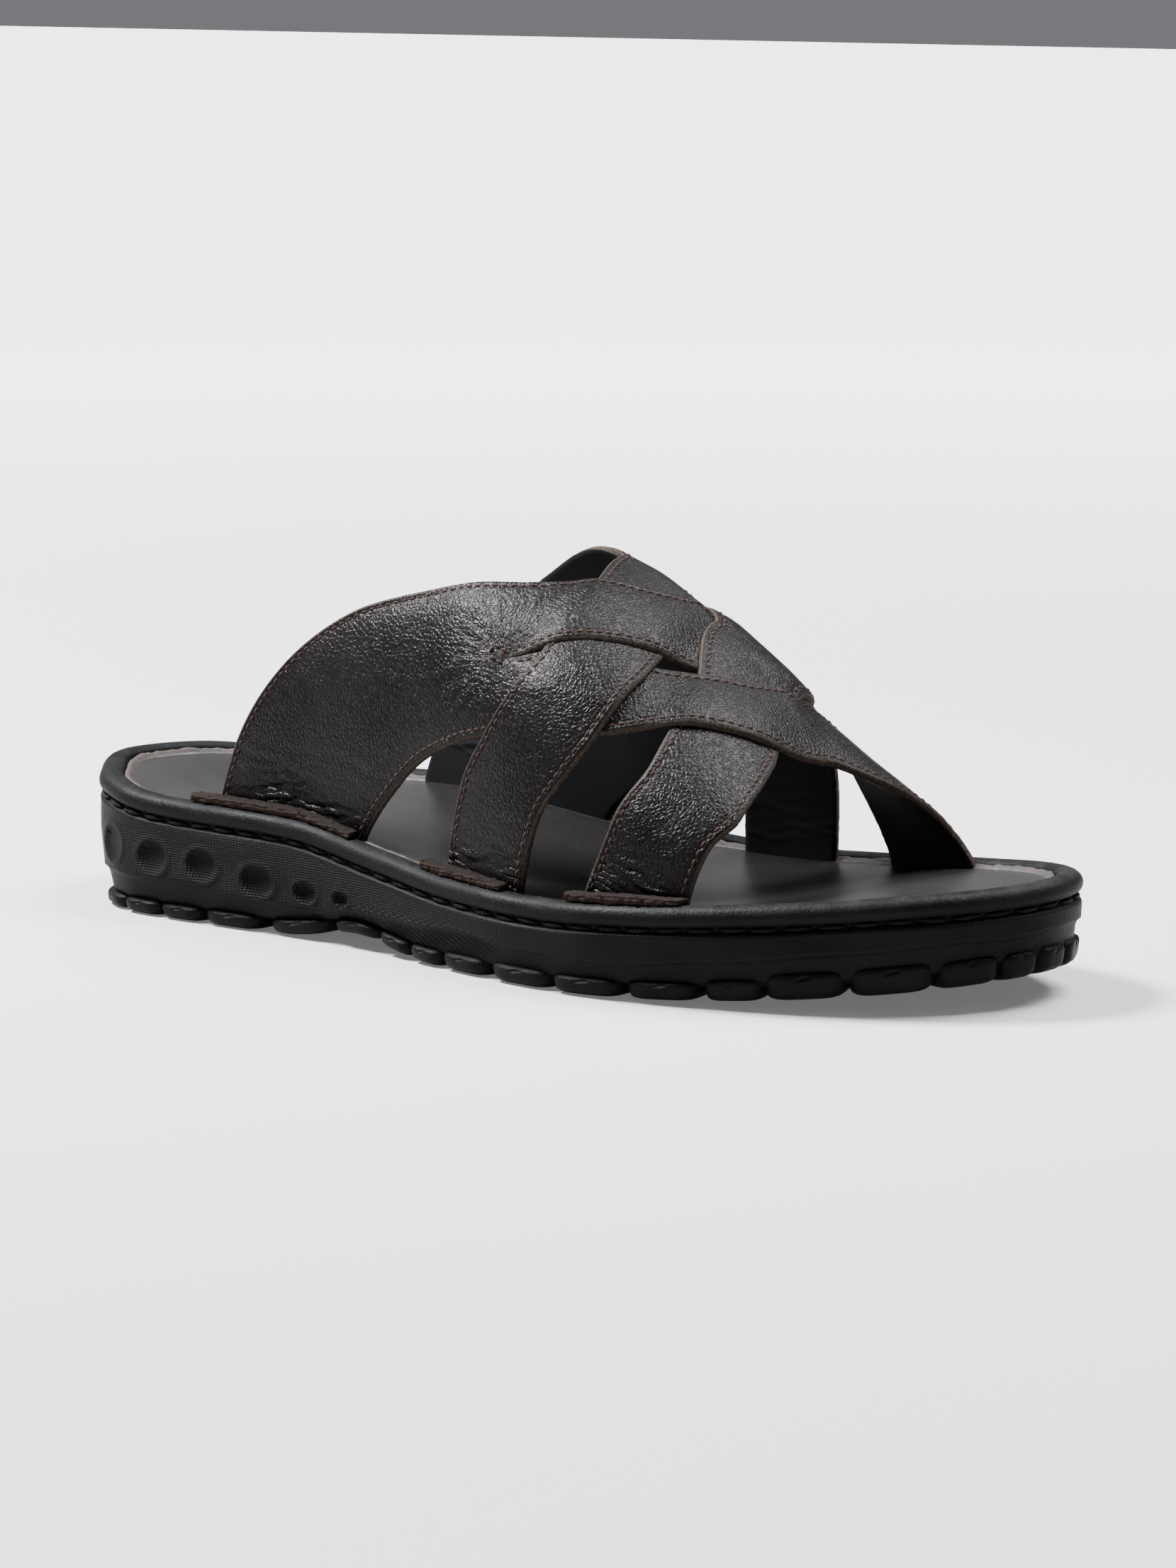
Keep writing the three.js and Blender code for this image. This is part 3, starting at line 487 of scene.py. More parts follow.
spots, turns, sizes = [], [], []
for share, long, climb in edge_lugs:
    for side in (-1,) if share in (0, 1) else (-1, 1):
        turn = math.acos(1 - 2 * share) / math.pi
        spot = outline_at(turn, side)
        back = outline_at(0.02, -side) if turn < 0.02 else outline_at(turn - 0.02, side)
        front = outline_at(0.98, -side) if turn > 0.98 else outline_at(turn + 0.02, side)
        along = (front - back) / np.linalg.norm(front - back)
        inward = side * np.array([along[1], -along[0]])
        tall = LUG_HEIGHT * (1 + climb)
        centre = spot + inward * (LUG_BREADTH / 2 + LUG_INSET + LUG_TUCK * float(tuck(spot[0])))
        spots.append((*centre, tall / 2))
        turns.append(turn_of((*(-side * along), 0), (0, 0, 1)))
        sizes.append((long * SOLE_LENGTH / 2 * 1.09, LUG_BREADTH / 2, tall / 2))
for share, side_share, long, broad in inner_lugs:
    half = abs(outline_at(math.acos(1 - 2 * share) / math.pi, -1 if side_share < 0 else 1)[1])
    spots.append((share * SOLE_LENGTH, side_share * half, INNER_LUG_HALF))
    turns.append((0, 0, 0))
    sizes.append((long * SOLE_LENGTH / 2 * 1.04, broad * LUG_BREADTH / 2 * 1.04, INNER_LUG_HALF))
lugs = grow("sole_lugs", spots, turns, sizes, lug_tree, Material=rubber)
# The blocks are drawn in to follow the curve of the outline and the tucked heel, and raised onto the tread.
corners = np.empty(len(lugs.data.vertices) * 3)
lugs.data.vertices.foreach_get("co", corners)
corners = corners.reshape(-1, 3)
flat = corners[:, :2] * 1000 + (SOLE_LENGTH / 2, MIDDLE_Y)
nearest = np.argmin((flat[:, :1] - rx) ** 2 + (flat[:, 1:] - ry) ** 2, axis=1)
inset_now = ((ring[nearest] - flat) * ring_out[nearest]).sum(-1)
push = np.maximum(LUG_INSET + LUG_TUCK * tuck(rx[nearest]) - inset_now, 0)[:, None] * ring_out[nearest]
corners[:, :2] -= push / 1000
corners[:, 2] += tread_inside((flat - push)[:, 0], INNER_LUG_HALF) / 1000
lugs.data.vertices.foreach_set("co", corners.ravel())
lugs.data.update()
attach(lugs, "root")

# ----------------------------------------
# Long stitches of the sole. Waxed black thread laid in the groove under the rim, that dips into the rubber
# at every needle hole.
LONG_STITCH = 8.0


def waxed_thread(name, dark, light, specular, twist, distortion, relief):
    """Material of a twisted thread."""
    made, tree, place = material(name)
    strand = add(tree, "ShaderNodeTexWave", {"Vector": place, "Scale": twist, "Distortion": distortion},
                 "Fac", bands_direction="DIAGONAL")
    # Painted light: the strand mixes a darker and a lighter copy of the thread's colour along the twist, as
    # painted shade between the plies and painted highlight on them.
    surface(tree, {"Base Color": mix(strand, dark, light), "Roughness": 0.6,
                   "Specular IOR Level": specular}, strand, relief, 0.7)
    return made


thread_dark = waxed_thread("sole_thread", (0.0015, 0.0015, 0.0017), (0.0045, 0.0045, 0.0048),
                           0.05, 420.0, 1.5, 0.0002)

stitch_tree, given, result = node_group("stitches", "GeometryNodeTree", [
    ("Geometry", "Geometry"), ("Geometry", "Geometry"), ("Dip", "Float", 1.0), ("Material", "Material")])
ball = add(stitch_tree, "GeometryNodeMeshUVSphere", {"Segments": 8, "Rings": 8, "Radius": 1.0})
lying = add(stitch_tree, "GeometryNodeTransform", {"Geometry": ball, "Rotation": (0, math.pi / 2, 0)})
forward = add(stitch_tree, "GeometryNodeInputPosition").split()[0]
sink = forward.math("ABSOLUTE") ** 3.0 * given["Dip"] * -1.0
dipped = add(stitch_tree, "GeometryNodeSetPosition", {
    "Geometry": lying, "Offset": add(stitch_tree, "ShaderNodeCombineXYZ", {"Z": sink})})
set_out(given, dipped, result)


def stitches_on(path, ups, pitch):
    """Middles and turns of stitches set at a pitch along a path, each with its own way up."""
    walk = walk_of(path)
    number = max(int(walk[-1] // pitch), 1)
    at = (np.arange(number) + 0.5) * walk[-1] / number
    forward = on_walk(path, walk, at + pitch * 0.3) - on_walk(path, walk, at - pitch * 0.3)
    return on_walk(path, walk, at), [turn_of(f, u) for f, u in zip(forward, on_walk(ups, walk, at))]


groove = np.column_stack([ring - ring_out * 1.25, levels["groove"] - 0.25])
outs = np.column_stack([ring_out, np.zeros(len(ring))])
spots, turns = stitches_on(np.vstack([groove, groove[:1]]), np.vstack([outs, outs[:1]]), LONG_STITCH)
spots = spots + rng.normal(0, 0.12, spots.shape)
turns = [tuple(np.add(turn, rng.normal(0, 0.03, 3))) for turn in turns]
sizes = [(LONG_STITCH * length, 0.62, 0.66) for length in rng.uniform(0.41, 0.49, len(spots))]
long_stitches = grow("groove_stitches", spots, turns, sizes, stitch_tree, Material=thread_dark, Dip=0.9)
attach(long_stitches, "root")

# ----------------------------------------
# Footbed. A board covered in smooth dark leather, let into the cup of the sole; its cover is cut raw at the
# rim, where the reddish flesh side shows as a rough lip.
DIP_HEEL = 3.2
DIP_BALL = 1.4
FOOTBED = (0.0034, 0.0028, 0.0030)
RAW = (0.021, 0.0095, 0.007)
FOOTBED_DUST = (0.05, 0.047, 0.046)
RAW_STAIN = (0.005, 0.004, 0.004)
SPINE_ENDS = (42, 246)

footbed_leather, tree, place = material("footbed_leather")
lip = marks(tree, "lip")[0]
cloud = noise(place, 22.0, 5.0)
pores = add(tree, "ShaderNodeTexVoronoi", {"Vector": place, "Scale": 1500.0})
fibre = noise(place, 1100.0, 6.0)
smooth_side = mix(cloud.ramp(0.3, 0.7), shade(FOOTBED, 0.85), shade(FOOTBED, 1.2))
smooth_side = mix(use(dust, place, Amount=0.05), smooth_side, FOOTBED_DUST)
raw_side = mix(fibre.ramp(0.35, 0.65), shade(RAW, 0.35), RAW)
raw_side = mix(noise(place, 130.0, 5.0).ramp(0.42, 0.62), RAW_STAIN, raw_side)
surface(tree, {"Base Color": mix(lip, smooth_side, raw_side), "Specular IOR Level": 0.45,
               "Roughness": cloud.ramp(0.3, 0.7, 0.31, 0.38) + lip * 0.4},
        pores * 0.35 + fibre * lip * 2.5, 0.00015, 0.55)

rim_rows = [
    # inset from the outline, height over the footbed's edge, how raw the leather is
    (6.55, -3.0, 1), (6.6, -0.4, 1), (6.75, 0.35, 1), (7.1, 0.75, 1), (7.6, 0.85, 1), (8.1, 0.55, 1),
    (8.5, 0.1, 0.9), (8.9, -0.15, 0.35), (9.6, -0.25, 0), (10.8, -0.15, 0), (12.5, 0, 0),
]
spine_x = np.clip(rx, *SPINE_ENDS)
spine = np.stack([spine_x, np.interp(spine_x, xs, (outer_y + inner_y) / 2)], -1)


def footbed_z(points):
    """Height of the footbed over the floor: level between the rims of both sides, with its two dips."""
    x = points[:, 0]
    outer = np.interp(x, *side_line(RIM_WIDTH, -1))
    inner = np.interp(x, *side_line(RIM_WIDTH, 1))
    part = np.clip((points[:, 1] - outer) / np.maximum(inner - outer, 1), 0, 1)
    edge = groove_z(x, outer) * (1 - part) + groove_z(x, inner) * part + RIM_RISE * 0.7
    s = x / SOLE_LENGTH
    depth = DIP_HEEL * np.exp(-(((s - 0.16) / 0.14) ** 2)) + DIP_BALL * np.exp(-(((s - 0.66) / 0.16) ** 2))
    ease = np.minimum((1 - np.abs(2 * part - 1)) * 1.3, 1)
    ends = smooth(0, 26, x - 6) * smooth(0, 26, SOLE_LENGTH - 6 - x)
    return edge - depth * ease * ends


layers, lips = [], []
ragged = np.interp(ring_walk, np.linspace(0, ring_walk[-1], 330), rng.normal(0, 1, 330))
for inset, rise, rawness in rim_rows:
    flat = ring - ring_out * inset
    layers.append(np.column_stack([flat, footbed_z(flat) + rise + (0.16 * ragged if 0 < rise else 0)]))
    lips.append(np.full(len(ring), float(rawness)))
for part in np.linspace(0, 1, 17)[1:]:
    inner = flat + (spine - flat) * part
    layers.append(np.column_stack([inner, footbed_z(inner)]))
    lips.append(np.zeros(len(ring)))
footbed = mesh_object("footbed", np.array(layers), grid_faces(len(layers), len(ring), closed=True),
                      footbed_leather, {"lip": np.array(lips)})
faces_out(footbed)
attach(footbed, "root")
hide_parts("insole")

# ----------------------------------------
# Woven upper. Two panels of thick grained leather, each slit into two strips that pass over and under the
# other panel's, lasted over the instep and turned down between rim and footbed; smooth black lining inside.
INSTEP = 100.0
STRAP_WALL = 2.6
LAYER = 2.2
RISE_RUN = 10.0
TUCK = 3.4
LEATHER = (0.0036, 0.0030, 0.0033)
LEATHER_HIGH = (0.0090, 0.0074, 0.0076)
CUT_EDGE = (0.036, 0.0265, 0.0205)
LINING = (0.0080, 0.0080, 0.0090)
LEATHER_DUST = (0.045, 0.040, 0.038)
SEWING_INSET = 1.7
FAR_OFF = 99.0
PANEL_ROWS = 360
BETWEEN_COLUMNS = 20

last_rows = [
    # share of the length, ridge height as a share of the instep, ridge shift as a share of the ball
    (0.15, 0.928, 0.055), (0.25, 1, 0.095), (0.35, 1.043, 0.136), (0.45, 1.03, 0.171),
    (0.55, 0.943, 0.185), (0.65, 0.76, 0.166), (0.75, 0.564, 0.091), (0.85, 0.397, 0.044),
    (0.95, 0.272, 0.014),
]
outer_panel = {
    # across from the outer base (0) to the inner base (1), rear edge, front edge
    "rear": [(0, .208, .288), (.08, .233, .356), (.16, .274, .436), (.24, .344, .53),
             (.3, .427, .57), (.36, .504, .605), (.42, .544, .639), (.48, .586, .676),
             (.54, .613, .695), (.64, .613, .702), (.8, .613, .705), (1, .614, .7)],
    "front": [(0, .288, .378), (.04, .322, .409), (.08, .356, .444), (.12, .395, .497),
              (.16, .436, .559), (.24, .53, .646), (.32, .588, .683), (.4, .645, .72),
              (.48, .686, .76), (.56, .711, .791), (.66, .716, .81), (.8, .725, .826),
              (1, .76, .851)],
    "slit_end": 0.24, "band_first": True,
}
inner_panel = {
    "rear": [(0, .49, .584), (.08, .506, .601), (.14, .529, .621), (.22, .554, .64),
             (.28, .563, .645), (.34, .559, .646), (.43, .55, .635), (.52, .517, .61),
             (.6, .486, .578), (.7, .442, .536), (.8, .384, .48), (.9, .33, .42),
             (1, .285, .37)],
    "front": [(0, .655, .753), (.07, .672, .76), (.14, .681, .766), (.24, .693, .777),
              (.33, .688, .773), (.42, .673, .761), (.5, .624, .731), (.58, .594, .702),
              (.66, .562, .695), (.76, .505, .675), (.85, .45, .625), (.93, .405, .556),
              (1, .37, .49)],
    "slit_end": 0.76, "band_first": False,
}
outer_base = side_line(RIM_WIDTH + 0.3, -1)
inner_base = side_line(RIM_WIDTH + 0.3, 1)


def last_point(x, across):
    """Point of the straps' outer face on the last; across runs from the outer base to the inner one."""
    x, across = np.broadcast_arrays(np.asarray(x, float), np.asarray(across, float))
    edge = np.where(across < 0.5, np.interp(x, *outer_base), np.interp(x, *inner_base))
    foot = groove_z(x, edge) + 4
    ridge = read(last_rows, 1, x / SOLE_LENGTH) * INSTEP
    shift = read(last_rows, 2, x / SOLE_LENGTH) * BALL_WIDTH
    reach = np.abs(np.cos(np.pi * across)) ** 0.7
    climb = np.abs(np.sin(np.pi * across)) ** 0.84
    return np.stack([x, shift + (edge - shift) * reach, foot + (ridge - foot) * climb], -1)


def unit(rows):
    return rows / np.maximum(np.linalg.norm(rows, axis=-1, keepdims=True), 1e-9)


def last_normal(x, across):
    along = last_point(x + 1, across) - last_point(x - 1, across)
    over = last_point(x, np.minimum(across + 0.006, 1)) - last_point(x, np.maximum(across - 0.006, 0))
    normal = unit(np.cross(along, over))
    return np.where(normal[..., 2:] < 0, -normal, normal)


def rise_at(below, x, across):
    """Rise of a strip off the last where the strip that it passes over lies below it."""
    total = 0
    for step in (-0.045, -0.0225, 0, 0.0225, 0.045):
        over = np.minimum(x - read(below, 1, across + step) * SOLE_LENGTH,
                          read(below, 2, across + step) * SOLE_LENGTH - x)
        total = total + smooth(0, 1, over / RISE_RUN + 0.6)
    return LAYER * total / 5


slit_spot = last_point(0.53 * SOLE_LENGTH, 0.24)
base_folds = [
    # height over the base, depth, width, wave length and phase along the base
    (4.9, 0.42, 0.60, 7.1, 0.4), (6.8, 0.55, 0.72, 9.3, 1.9), (9.0, 0.46, 0.80, 6.4, 3.3),
    (11.6, 0.32, 0.95, 8.2, 5.0), (14.6, 0.20, 1.15, 10.7, 0.9), (18.5, 0.12, 1.5, 12.3, 2.6),
]
slit_folds = [
    # direction from the slit's end in degrees, width in degrees, depth, nearest and furthest reach
    (62, 3.2, 0.16, 5, 30), (73, 3.0, 0.22, 5, 34), (84, 2.8, 0.24, 5, 38), (95, 3.0, 0.26, 4, 36),
    (106, 3.2, 0.24, 5, 34), (118, 3.4, 0.26, 4, 30), (131, 3.6, 0.22, 4, 27), (146, 3.8, 0.20, 4, 24),
    (162, 4.0, 0.18, 5, 22), (182, 4.2, 0.16, 5, 20), (204, 4.4, 0.22, 4, 24), (221, 4.0, 0.24, 4, 30),
    (236, 3.6, 0.22, 5, 34),
]


def creases(points, x, slant, outer):
    """Soft troughs and ridges: folds over the bases, and folds that fan from the slit's end. Gives their
    height, the height over the base, and direction and distance from the slit's end."""
    over = points[..., 2] - groove_z(x, points[..., 1]) - 4
    sloped = over + slant * (x - x[0].mean())
    sink = np.zeros(points.shape[:-1])
    for rise, depth, width, wave, phase in base_folds:
        middle = rise + 0.8 * np.sin(x / wave * 2.1 + phase) + 0.35 * np.sin(x / wave * 5.2 + phase)
        strength = 0.6 + 0.4 * np.sin(x / wave + 2.2 * phase)
        fold = np.exp(-(((sloped - middle) / width) ** 2))
        ridge = np.exp(-(((sloped - middle - 1.3 * width) / width) ** 2))
        sink += depth * strength * (fold - 0.6 * ridge) * (1 - smooth(16, 26, over))
    away = points - slit_spot
    v = np.hypot(away[..., 1], away[..., 2]) * np.sign(away[..., 2])
    far = np.hypot(away[..., 0], v)
    angle = np.degrees(np.arctan2(v, away[..., 0])) % 360
    for towards, spread, depth, near, reach in slit_folds if outer else ():
        off = (angle + 2.2 * np.sin(far / 6 + towards) - towards) / spread
        fade = smooth(near * 0.4, near, far) * (1 - smooth(reach * 0.55, reach, far))
        sink += depth * 0.85 * fade * (np.exp(-off**2) - 0.5 * np.exp(-(off - 1.7) ** 2))
    slack = 0.16 * np.sin(x / 17 + over / 13) + 0.10 * np.sin(x / 8.3 - over / 7 + 1.2)
    return slack - sink, sloped, angle, np.where(outer, far, FAR_OFF)


def cell_edges(place, scale):
    return add(place.tree, "ShaderNodeTexVoronoi", {"Vector": place, "Scale": scale},
               feature="DISTANCE_TO_EDGE")


grain, given, result = node_group("leather_grain", "ShaderNodeTree", [
    ("Height", "Float"), ("Vector", "Vector"), ("Scale", "Float", 800.0), ("Stretch", "Vector", (1, 1, 1))])
warp = noise(given["Vector"], 260.0, 3.0, out="Color")
moved = add(grain, "ShaderNodeVectorMath", {0: warp, 1: (0.0016, 0.0016, 0.0016), 2: given["Vector"]},
            operation="MULTIPLY_ADD")
moved = add(grain, "ShaderNodeVectorMath", {0: moved, 1: given["Stretch"]}, operation="MULTIPLY")
fill(result, cell_edges(moved, given["Scale"]).ramp(0.0, 0.32) * 0.84
     + cell_edges(moved, given["Scale"] * 2.3).ramp(0.0, 0.3) * 0.16)

strap_leather, tree, place = material("strap_leather")
edge, lining, fold, over, ray, far = marks(tree, "edge", "lining", "fold", "over", "ray", "far")
hide = use(grain, place, Scale=980.0, Stretch=(1.0, 1.0, 0.8))
wobble = noise(place, 150.0, 3.0)
coarse = noise(place, 38.0, 6.0)
fibre = noise(place, 1300.0, 6.0)
pleat = ((over * 3.1 + wobble * 15.0) * 0.5).math("SINE").math("ABSOLUTE") ** 0.45
pleat_mask = over.ramp(13.0, 4.0) * noise(place, 90.0, 2.0).ramp(0.38, 0.55)
spread = add(tree, "ShaderNodeCombineXYZ", {
    "X": ray * 0.2 + wobble * 1.3, "Y": far.math("LOGARITHM", 2.718) * 2.3})
fan_mask = far.ramp(27.0, 5.0) * ray.ramp(40.0, 62.0) * ray.ramp(262.0, 238.0)
face = mix(coarse.ramp(0.3, 0.7), shade(LEATHER, 0.84), shade(LEATHER, 1.2))
face = mix(hide.ramp(0.25, 1.0) * 0.18, face, LEATHER_HIGH)
# Painted shade: the face is darkened towards 0.3 of its colour in the crease troughs that the fold mark
# holds.
face = mix(fold * 0.5, face, shade(LEATHER, 0.3))
face = mix(use(dust, place, Amount=0.035), face, LEATHER_DUST)
cut = mix(fibre.ramp(0.3, 0.7), shade(CUT_EDGE, 0.42), CUT_EDGE)
worn = use(wear, place, Mask=edge, Amount=1.0, Scale=300.0) * 0.5
face = mix(edge.ramp(0.55, 0.9).math("MAXIMUM", worn), face, cut)
outside = edge.math("MAXIMUM", lining) * -1.0 + 1.0
skin = hide + pleat * pleat_mask * 4.0 + cell_edges(spread, 1.0).ramp(0.0, 0.3) * fan_mask * 1.1
surface(tree, {"Base Color": mix(lining, face, LINING), "Specular IOR Level": 0.078,
               "Specular Tint": (1.0, 0.92, 0.95),
               "Roughness": coarse.ramp(0.3, 0.7, 0.32, 0.40) + edge * 0.35 - hide * 0.05 + lining * 0.15},
        skin * outside + fibre * edge * 1.6, 0.00013, 0.85)

near_edge = [0.0, 0.25, 0.6, 1.1, SEWING_INSET, 2.3, 3.0, 4.0, 5.3]
sewn_column = near_edge.index(SEWING_INSET)


def strap_panel(name, panel, outer, below, slants):
    """One slit panel as a closed skin of two strips, and the lines that its stitches follow."""
    fine_across = np.linspace(0, 1, 900)
    centre = last_point(SOLE_LENGTH * (read(panel["rear"], 1, fine_across)
                                       + read(panel["front"], 2, fine_across)) / 2, fine_across)
    walk = walk_of(centre)
    across = np.interp(np.linspace(0, walk[-1], PANEL_ROWS), walk, fine_across)
    across[np.argmin(np.abs(across - panel["slit_end"]))] = panel["slit_end"]
    across = np.concatenate([[0, 0], across, [1, 1]])
    drop = np.zeros((len(across), 1))
    drop[[0, -1]], drop[[1, -2]] = TUCK, TUCK / 2
    apart = across > panel["slit_end"] if panel["band_first"] else across < panel["slit_end"]
    from_slit = np.abs(np.interp(across, fine_across, walk)
                       - np.interp(panel["slit_end"], fine_across, walk)) * apart
    opened, whole = smooth(0, 4.0, from_slit)[:, None], np.ones((len(across), 1))
    bounds = {key: [read(panel[key], column, across) * SOLE_LENGTH for column in (1, 2)]
              for key in ("rear", "front")}
    slit = (bounds["rear"][1] + bounds["front"][0]) / 2
    strips = (("rear", bounds["rear"][0], np.where(apart, bounds["rear"][1], slit), whole, opened),
              ("front", np.where(apart, bounds["front"][0], slit), bounds["front"][1], opened, whole))
    points, faces, sewn, base = [], [], [], 0
    floats = {key: [] for key in ("edge", "lining", "fold", "over", "ray", "far")}
    for strip, low, high, low_open, high_open in strips:
        wide = (high - low)[:, None]
        slant, near = [], []
        for x in (low, high):
            run = unit(np.gradient(last_point(x, across), axis=0) + 1e-9)
            cross = unit(last_point(x + 0.5, across) - last_point(x - 0.5, across))
            slant.append(np.maximum(np.linalg.norm(np.cross(run, cross), axis=-1), 0.35)[:, None])
            near.append(np.minimum(np.array(near_edge) / slant[-1], wide * (
                0.02 + 0.44 * np.arange(len(near_edge)) / len(near_edge))))
        t = np.arange(1, BETWEEN_COLUMNS + 1) / (BETWEEN_COLUMNS + 1)
        offsets = np.column_stack([near[0], near[0][:, -1:] * (1 - t) + (wide - near[1][:, -1:]) * t,
                                   wide - near[1][:, ::-1]])
        x = low[:, None] + offsets
        a = np.broadcast_to(across[:, None], x.shape)
        lift = rise_at(below[strip], x, a)
        normal = last_normal(x, a)
        ends = ((across == 0) | (across == 1))[:, None, None]
        normal = unit(np.where(ends, normal * (1, 1, 0), normal))
        shape, under, edge_mask, room = 0, 0, 0, []
        for off, is_open in ((offsets * slant[0], low_open), ((wide - offsets) * slant[1], high_open)):
            sewn_dip = 0.26 * np.exp(-(((off - SEWING_INSET) / 0.5) ** 2))
            puff = 0.06 * np.exp(-(((off - 0.9) / 0.4) ** 2)) + 0.3 * smooth(SEWING_INSET, 8, off) - 0.3
            shape = shape + (puff - 0.42 * (1 - smooth(0, 0.7, off)) - sewn_dip) * is_open
            under = under + 0.35 * (1 - smooth(0, 0.75, off)) * is_open
            edge_mask = np.maximum(edge_mask, (1 - smooth(0.1, 0.75, off)) * is_open)
            room.append(off + 9 * (1 - is_open))
        lasted = last_point(x, a)
        fold, over, angle, far = creases(lasted, x, slants[strip], outer)
        settle = smooth(0, 2.2, np.minimum(*room))
        top = lasted + normal * (lift + shape + fold * (0.35 + 0.65 * settle))[..., None]
        bottom = lasted + normal * (lift - STRAP_WALL + under + fold * 0.5)[..., None]
        top[..., 2] -= drop
        bottom[..., 2] -= drop
        walls = []
        for column, inner, is_open in ((0, 2, low_open), (-1, -3, high_open)):
            outwards = unit(top[:, column] - top[:, inner])
            walls.append(np.stack([
                top[:, column] * (1 - part) + bottom[:, column] * part
                + outwards * (bulge + rng.normal(0, 0.07, (len(across), 1))) * is_open
                for part, bulge in ((0.25, 0.10), (0.5, 0.16), (0.75, 0.10))], 1))
        ids = []
        for block, edge_value, lining_value in ((top, edge_mask, 0), (bottom, edge_mask * 0.6, 1),
                                                (walls[0], 1, 0), (walls[1], 1, 0)):
            rows, columns = block.shape[:2]
            ids.append(base + np.arange(rows * columns).reshape(rows, columns))
            base += rows * columns
            points.append(block.reshape(-1, 3))
            values = {"edge": edge_value, "lining": lining_value * (1 - 0.6 * edge_value), "fold": 0,
                      "over": FAR_OFF, "ray": FAR_OFF, "far": FAR_OFF}
            if block is top:
                # The fold mark is the depth of the crease troughs, where the material paints shade.
                values.update(fold=np.clip(-fold / 0.5, 0, 1), over=over, ray=angle, far=far)
            for key, value in values.items():
                floats[key].append(np.broadcast_to(value, (rows, columns)).ravel())
        low_wall = np.column_stack([ids[0][:, 0], ids[2], ids[1][:, 0]])
        high_wall = np.column_stack([ids[0][:, -1], ids[3], ids[1][:, -1]])
        every, open_rows = np.ones(len(across) - 1, bool), apart[1:] | apart[:-1]
        for block, kept in ((ids[0], every), (ids[1], every),
                            (low_wall, every if strip == "rear" else open_rows),
                            (high_wall, open_rows if strip == "rear" else every)):
            quads = np.stack([block[:-1, :-1], block[:-1, 1:], block[1:, 1:], block[1:, :-1]], -1)
            faces.append(quads[kept].reshape(-1, 4))
        for column, is_open in ((sewn_column, strip == "rear"), (-1 - sewn_column, strip == "front")):
            use_rows = (apart | is_open) & (across > 0.004) & (across < 0.996)
            sewn.append((top[use_rows, column], normal[use_rows, column]))
    piece = mesh_object(name, np.vstack(points), np.vstack(faces), strap_leather,
                        {key: np.concatenate(values) for key, values in floats.items()})
    faces_out(piece)
    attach(piece, "root")
    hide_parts("upper")
    return sewn


sewn_lines = strap_panel("upper_outer_panel", outer_panel, True, inner_panel, {"rear": 0.0, "front": 0.0})
sewn_lines += strap_panel("upper_inner_panel", inner_panel, False,
                          {"rear": outer_panel["front"], "front": outer_panel["rear"]},
                          {"rear": 0.08, "front": 0.42})

# ----------------------------------------
# Strap stitches. One row of dark brown waxed thread along every cut edge, at the sewing inset, and a small
# frame of stitches round the end of each slit.
STITCH_PITCH = 2.45
FRAME_PITCH = 2.0
thread_brown = waxed_thread("strap_thread", (0.010, 0.0042, 0.0030), (0.040, 0.0165, 0.0115),
                            0.12, 900.0, 2.0, 0.00012)

slit_frame = [
    # corners, along the sole and across the instep from the slit's end
    (0.5, 0.0085), (-4.6, 0.0085), (-4.6, -0.0085), (0.5, -0.0085),
]
rows = [(path + ups * 0.10, ups, STITCH_PITCH) for path, ups in sewn_lines]
for end_x, end_across, sway in ((0.528, outer_panel["slit_end"], 1), (0.503, inner_panel["slit_end"], -1)):
    for (x0, a0), (x1, a1) in zip(slit_frame[:-1], slit_frame[1:]):
        x = end_x * SOLE_LENGTH + np.linspace(x0, x1, 16)
        over = end_across + sway * np.linspace(a0, a1, 16)
        ups = last_normal(x, over)
        skin = last_point(x, over)
        lie = creases(skin, x, 0.0, sway > 0)[0] + 0.28
        rows.append((skin + ups * lie[:, None], ups, FRAME_PITCH))
spots, turns = zip(*(stitches_on(*row) for row in rows))
spots, turns = np.vstack(spots), sum(turns, [])
thread = grow("upper_stitches", spots, turns, [(STITCH_PITCH * 0.42, 0.40, 0.38)] * len(spots),
              stitch_tree, Material=thread_brown, Dip=0.8)
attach(thread, "root")

# ----------------------------------------
# Raw leather strips at the outer strap bases. Offcuts of thick sole leather laid on the rim and nailed
# through; their sides show the fibrous, layered cut.
TAB_THICK = 2.15
TAB_WIDE = 4.4
TAB_ROWS = 90
SIDE_DARK, SIDE_LIGHT = (0.004, 0.003, 0.0026), (0.024, 0.015, 0.0115)
TOP_DARK, TOP_LIGHT = (0.003, 0.0025, 0.0023), (0.011, 0.0075, 0.006)
SEAM = (0.007, 0.0035, 0.0025)

raw_leather, tree, place = material("raw_leather")
fibre = noise(place, 700.0, 7.0)
cut_layers = add(tree, "ShaderNodeTexWave", {
    "Vector": place, "Scale": 330.0, "Distortion": 5.0, "Detail": 3.0}, "Fac", bands_direction="Z") * 0.5
top_mask = add(tree, "ShaderNodeNewGeometry", out="Normal").split()[2].ramp(0.45, 0.9)
side_colour = mix(cut_layers, mix(fibre, SIDE_DARK, SIDE_LIGHT), SEAM)
surface(tree, {"Base Color": mix(top_mask, side_colour, mix(fibre, TOP_DARK, TOP_LIGHT)),
               "Roughness": 0.88, "Specular IOR Level": 0.08}, fibre + cut_layers, 0.0004, 0.9)

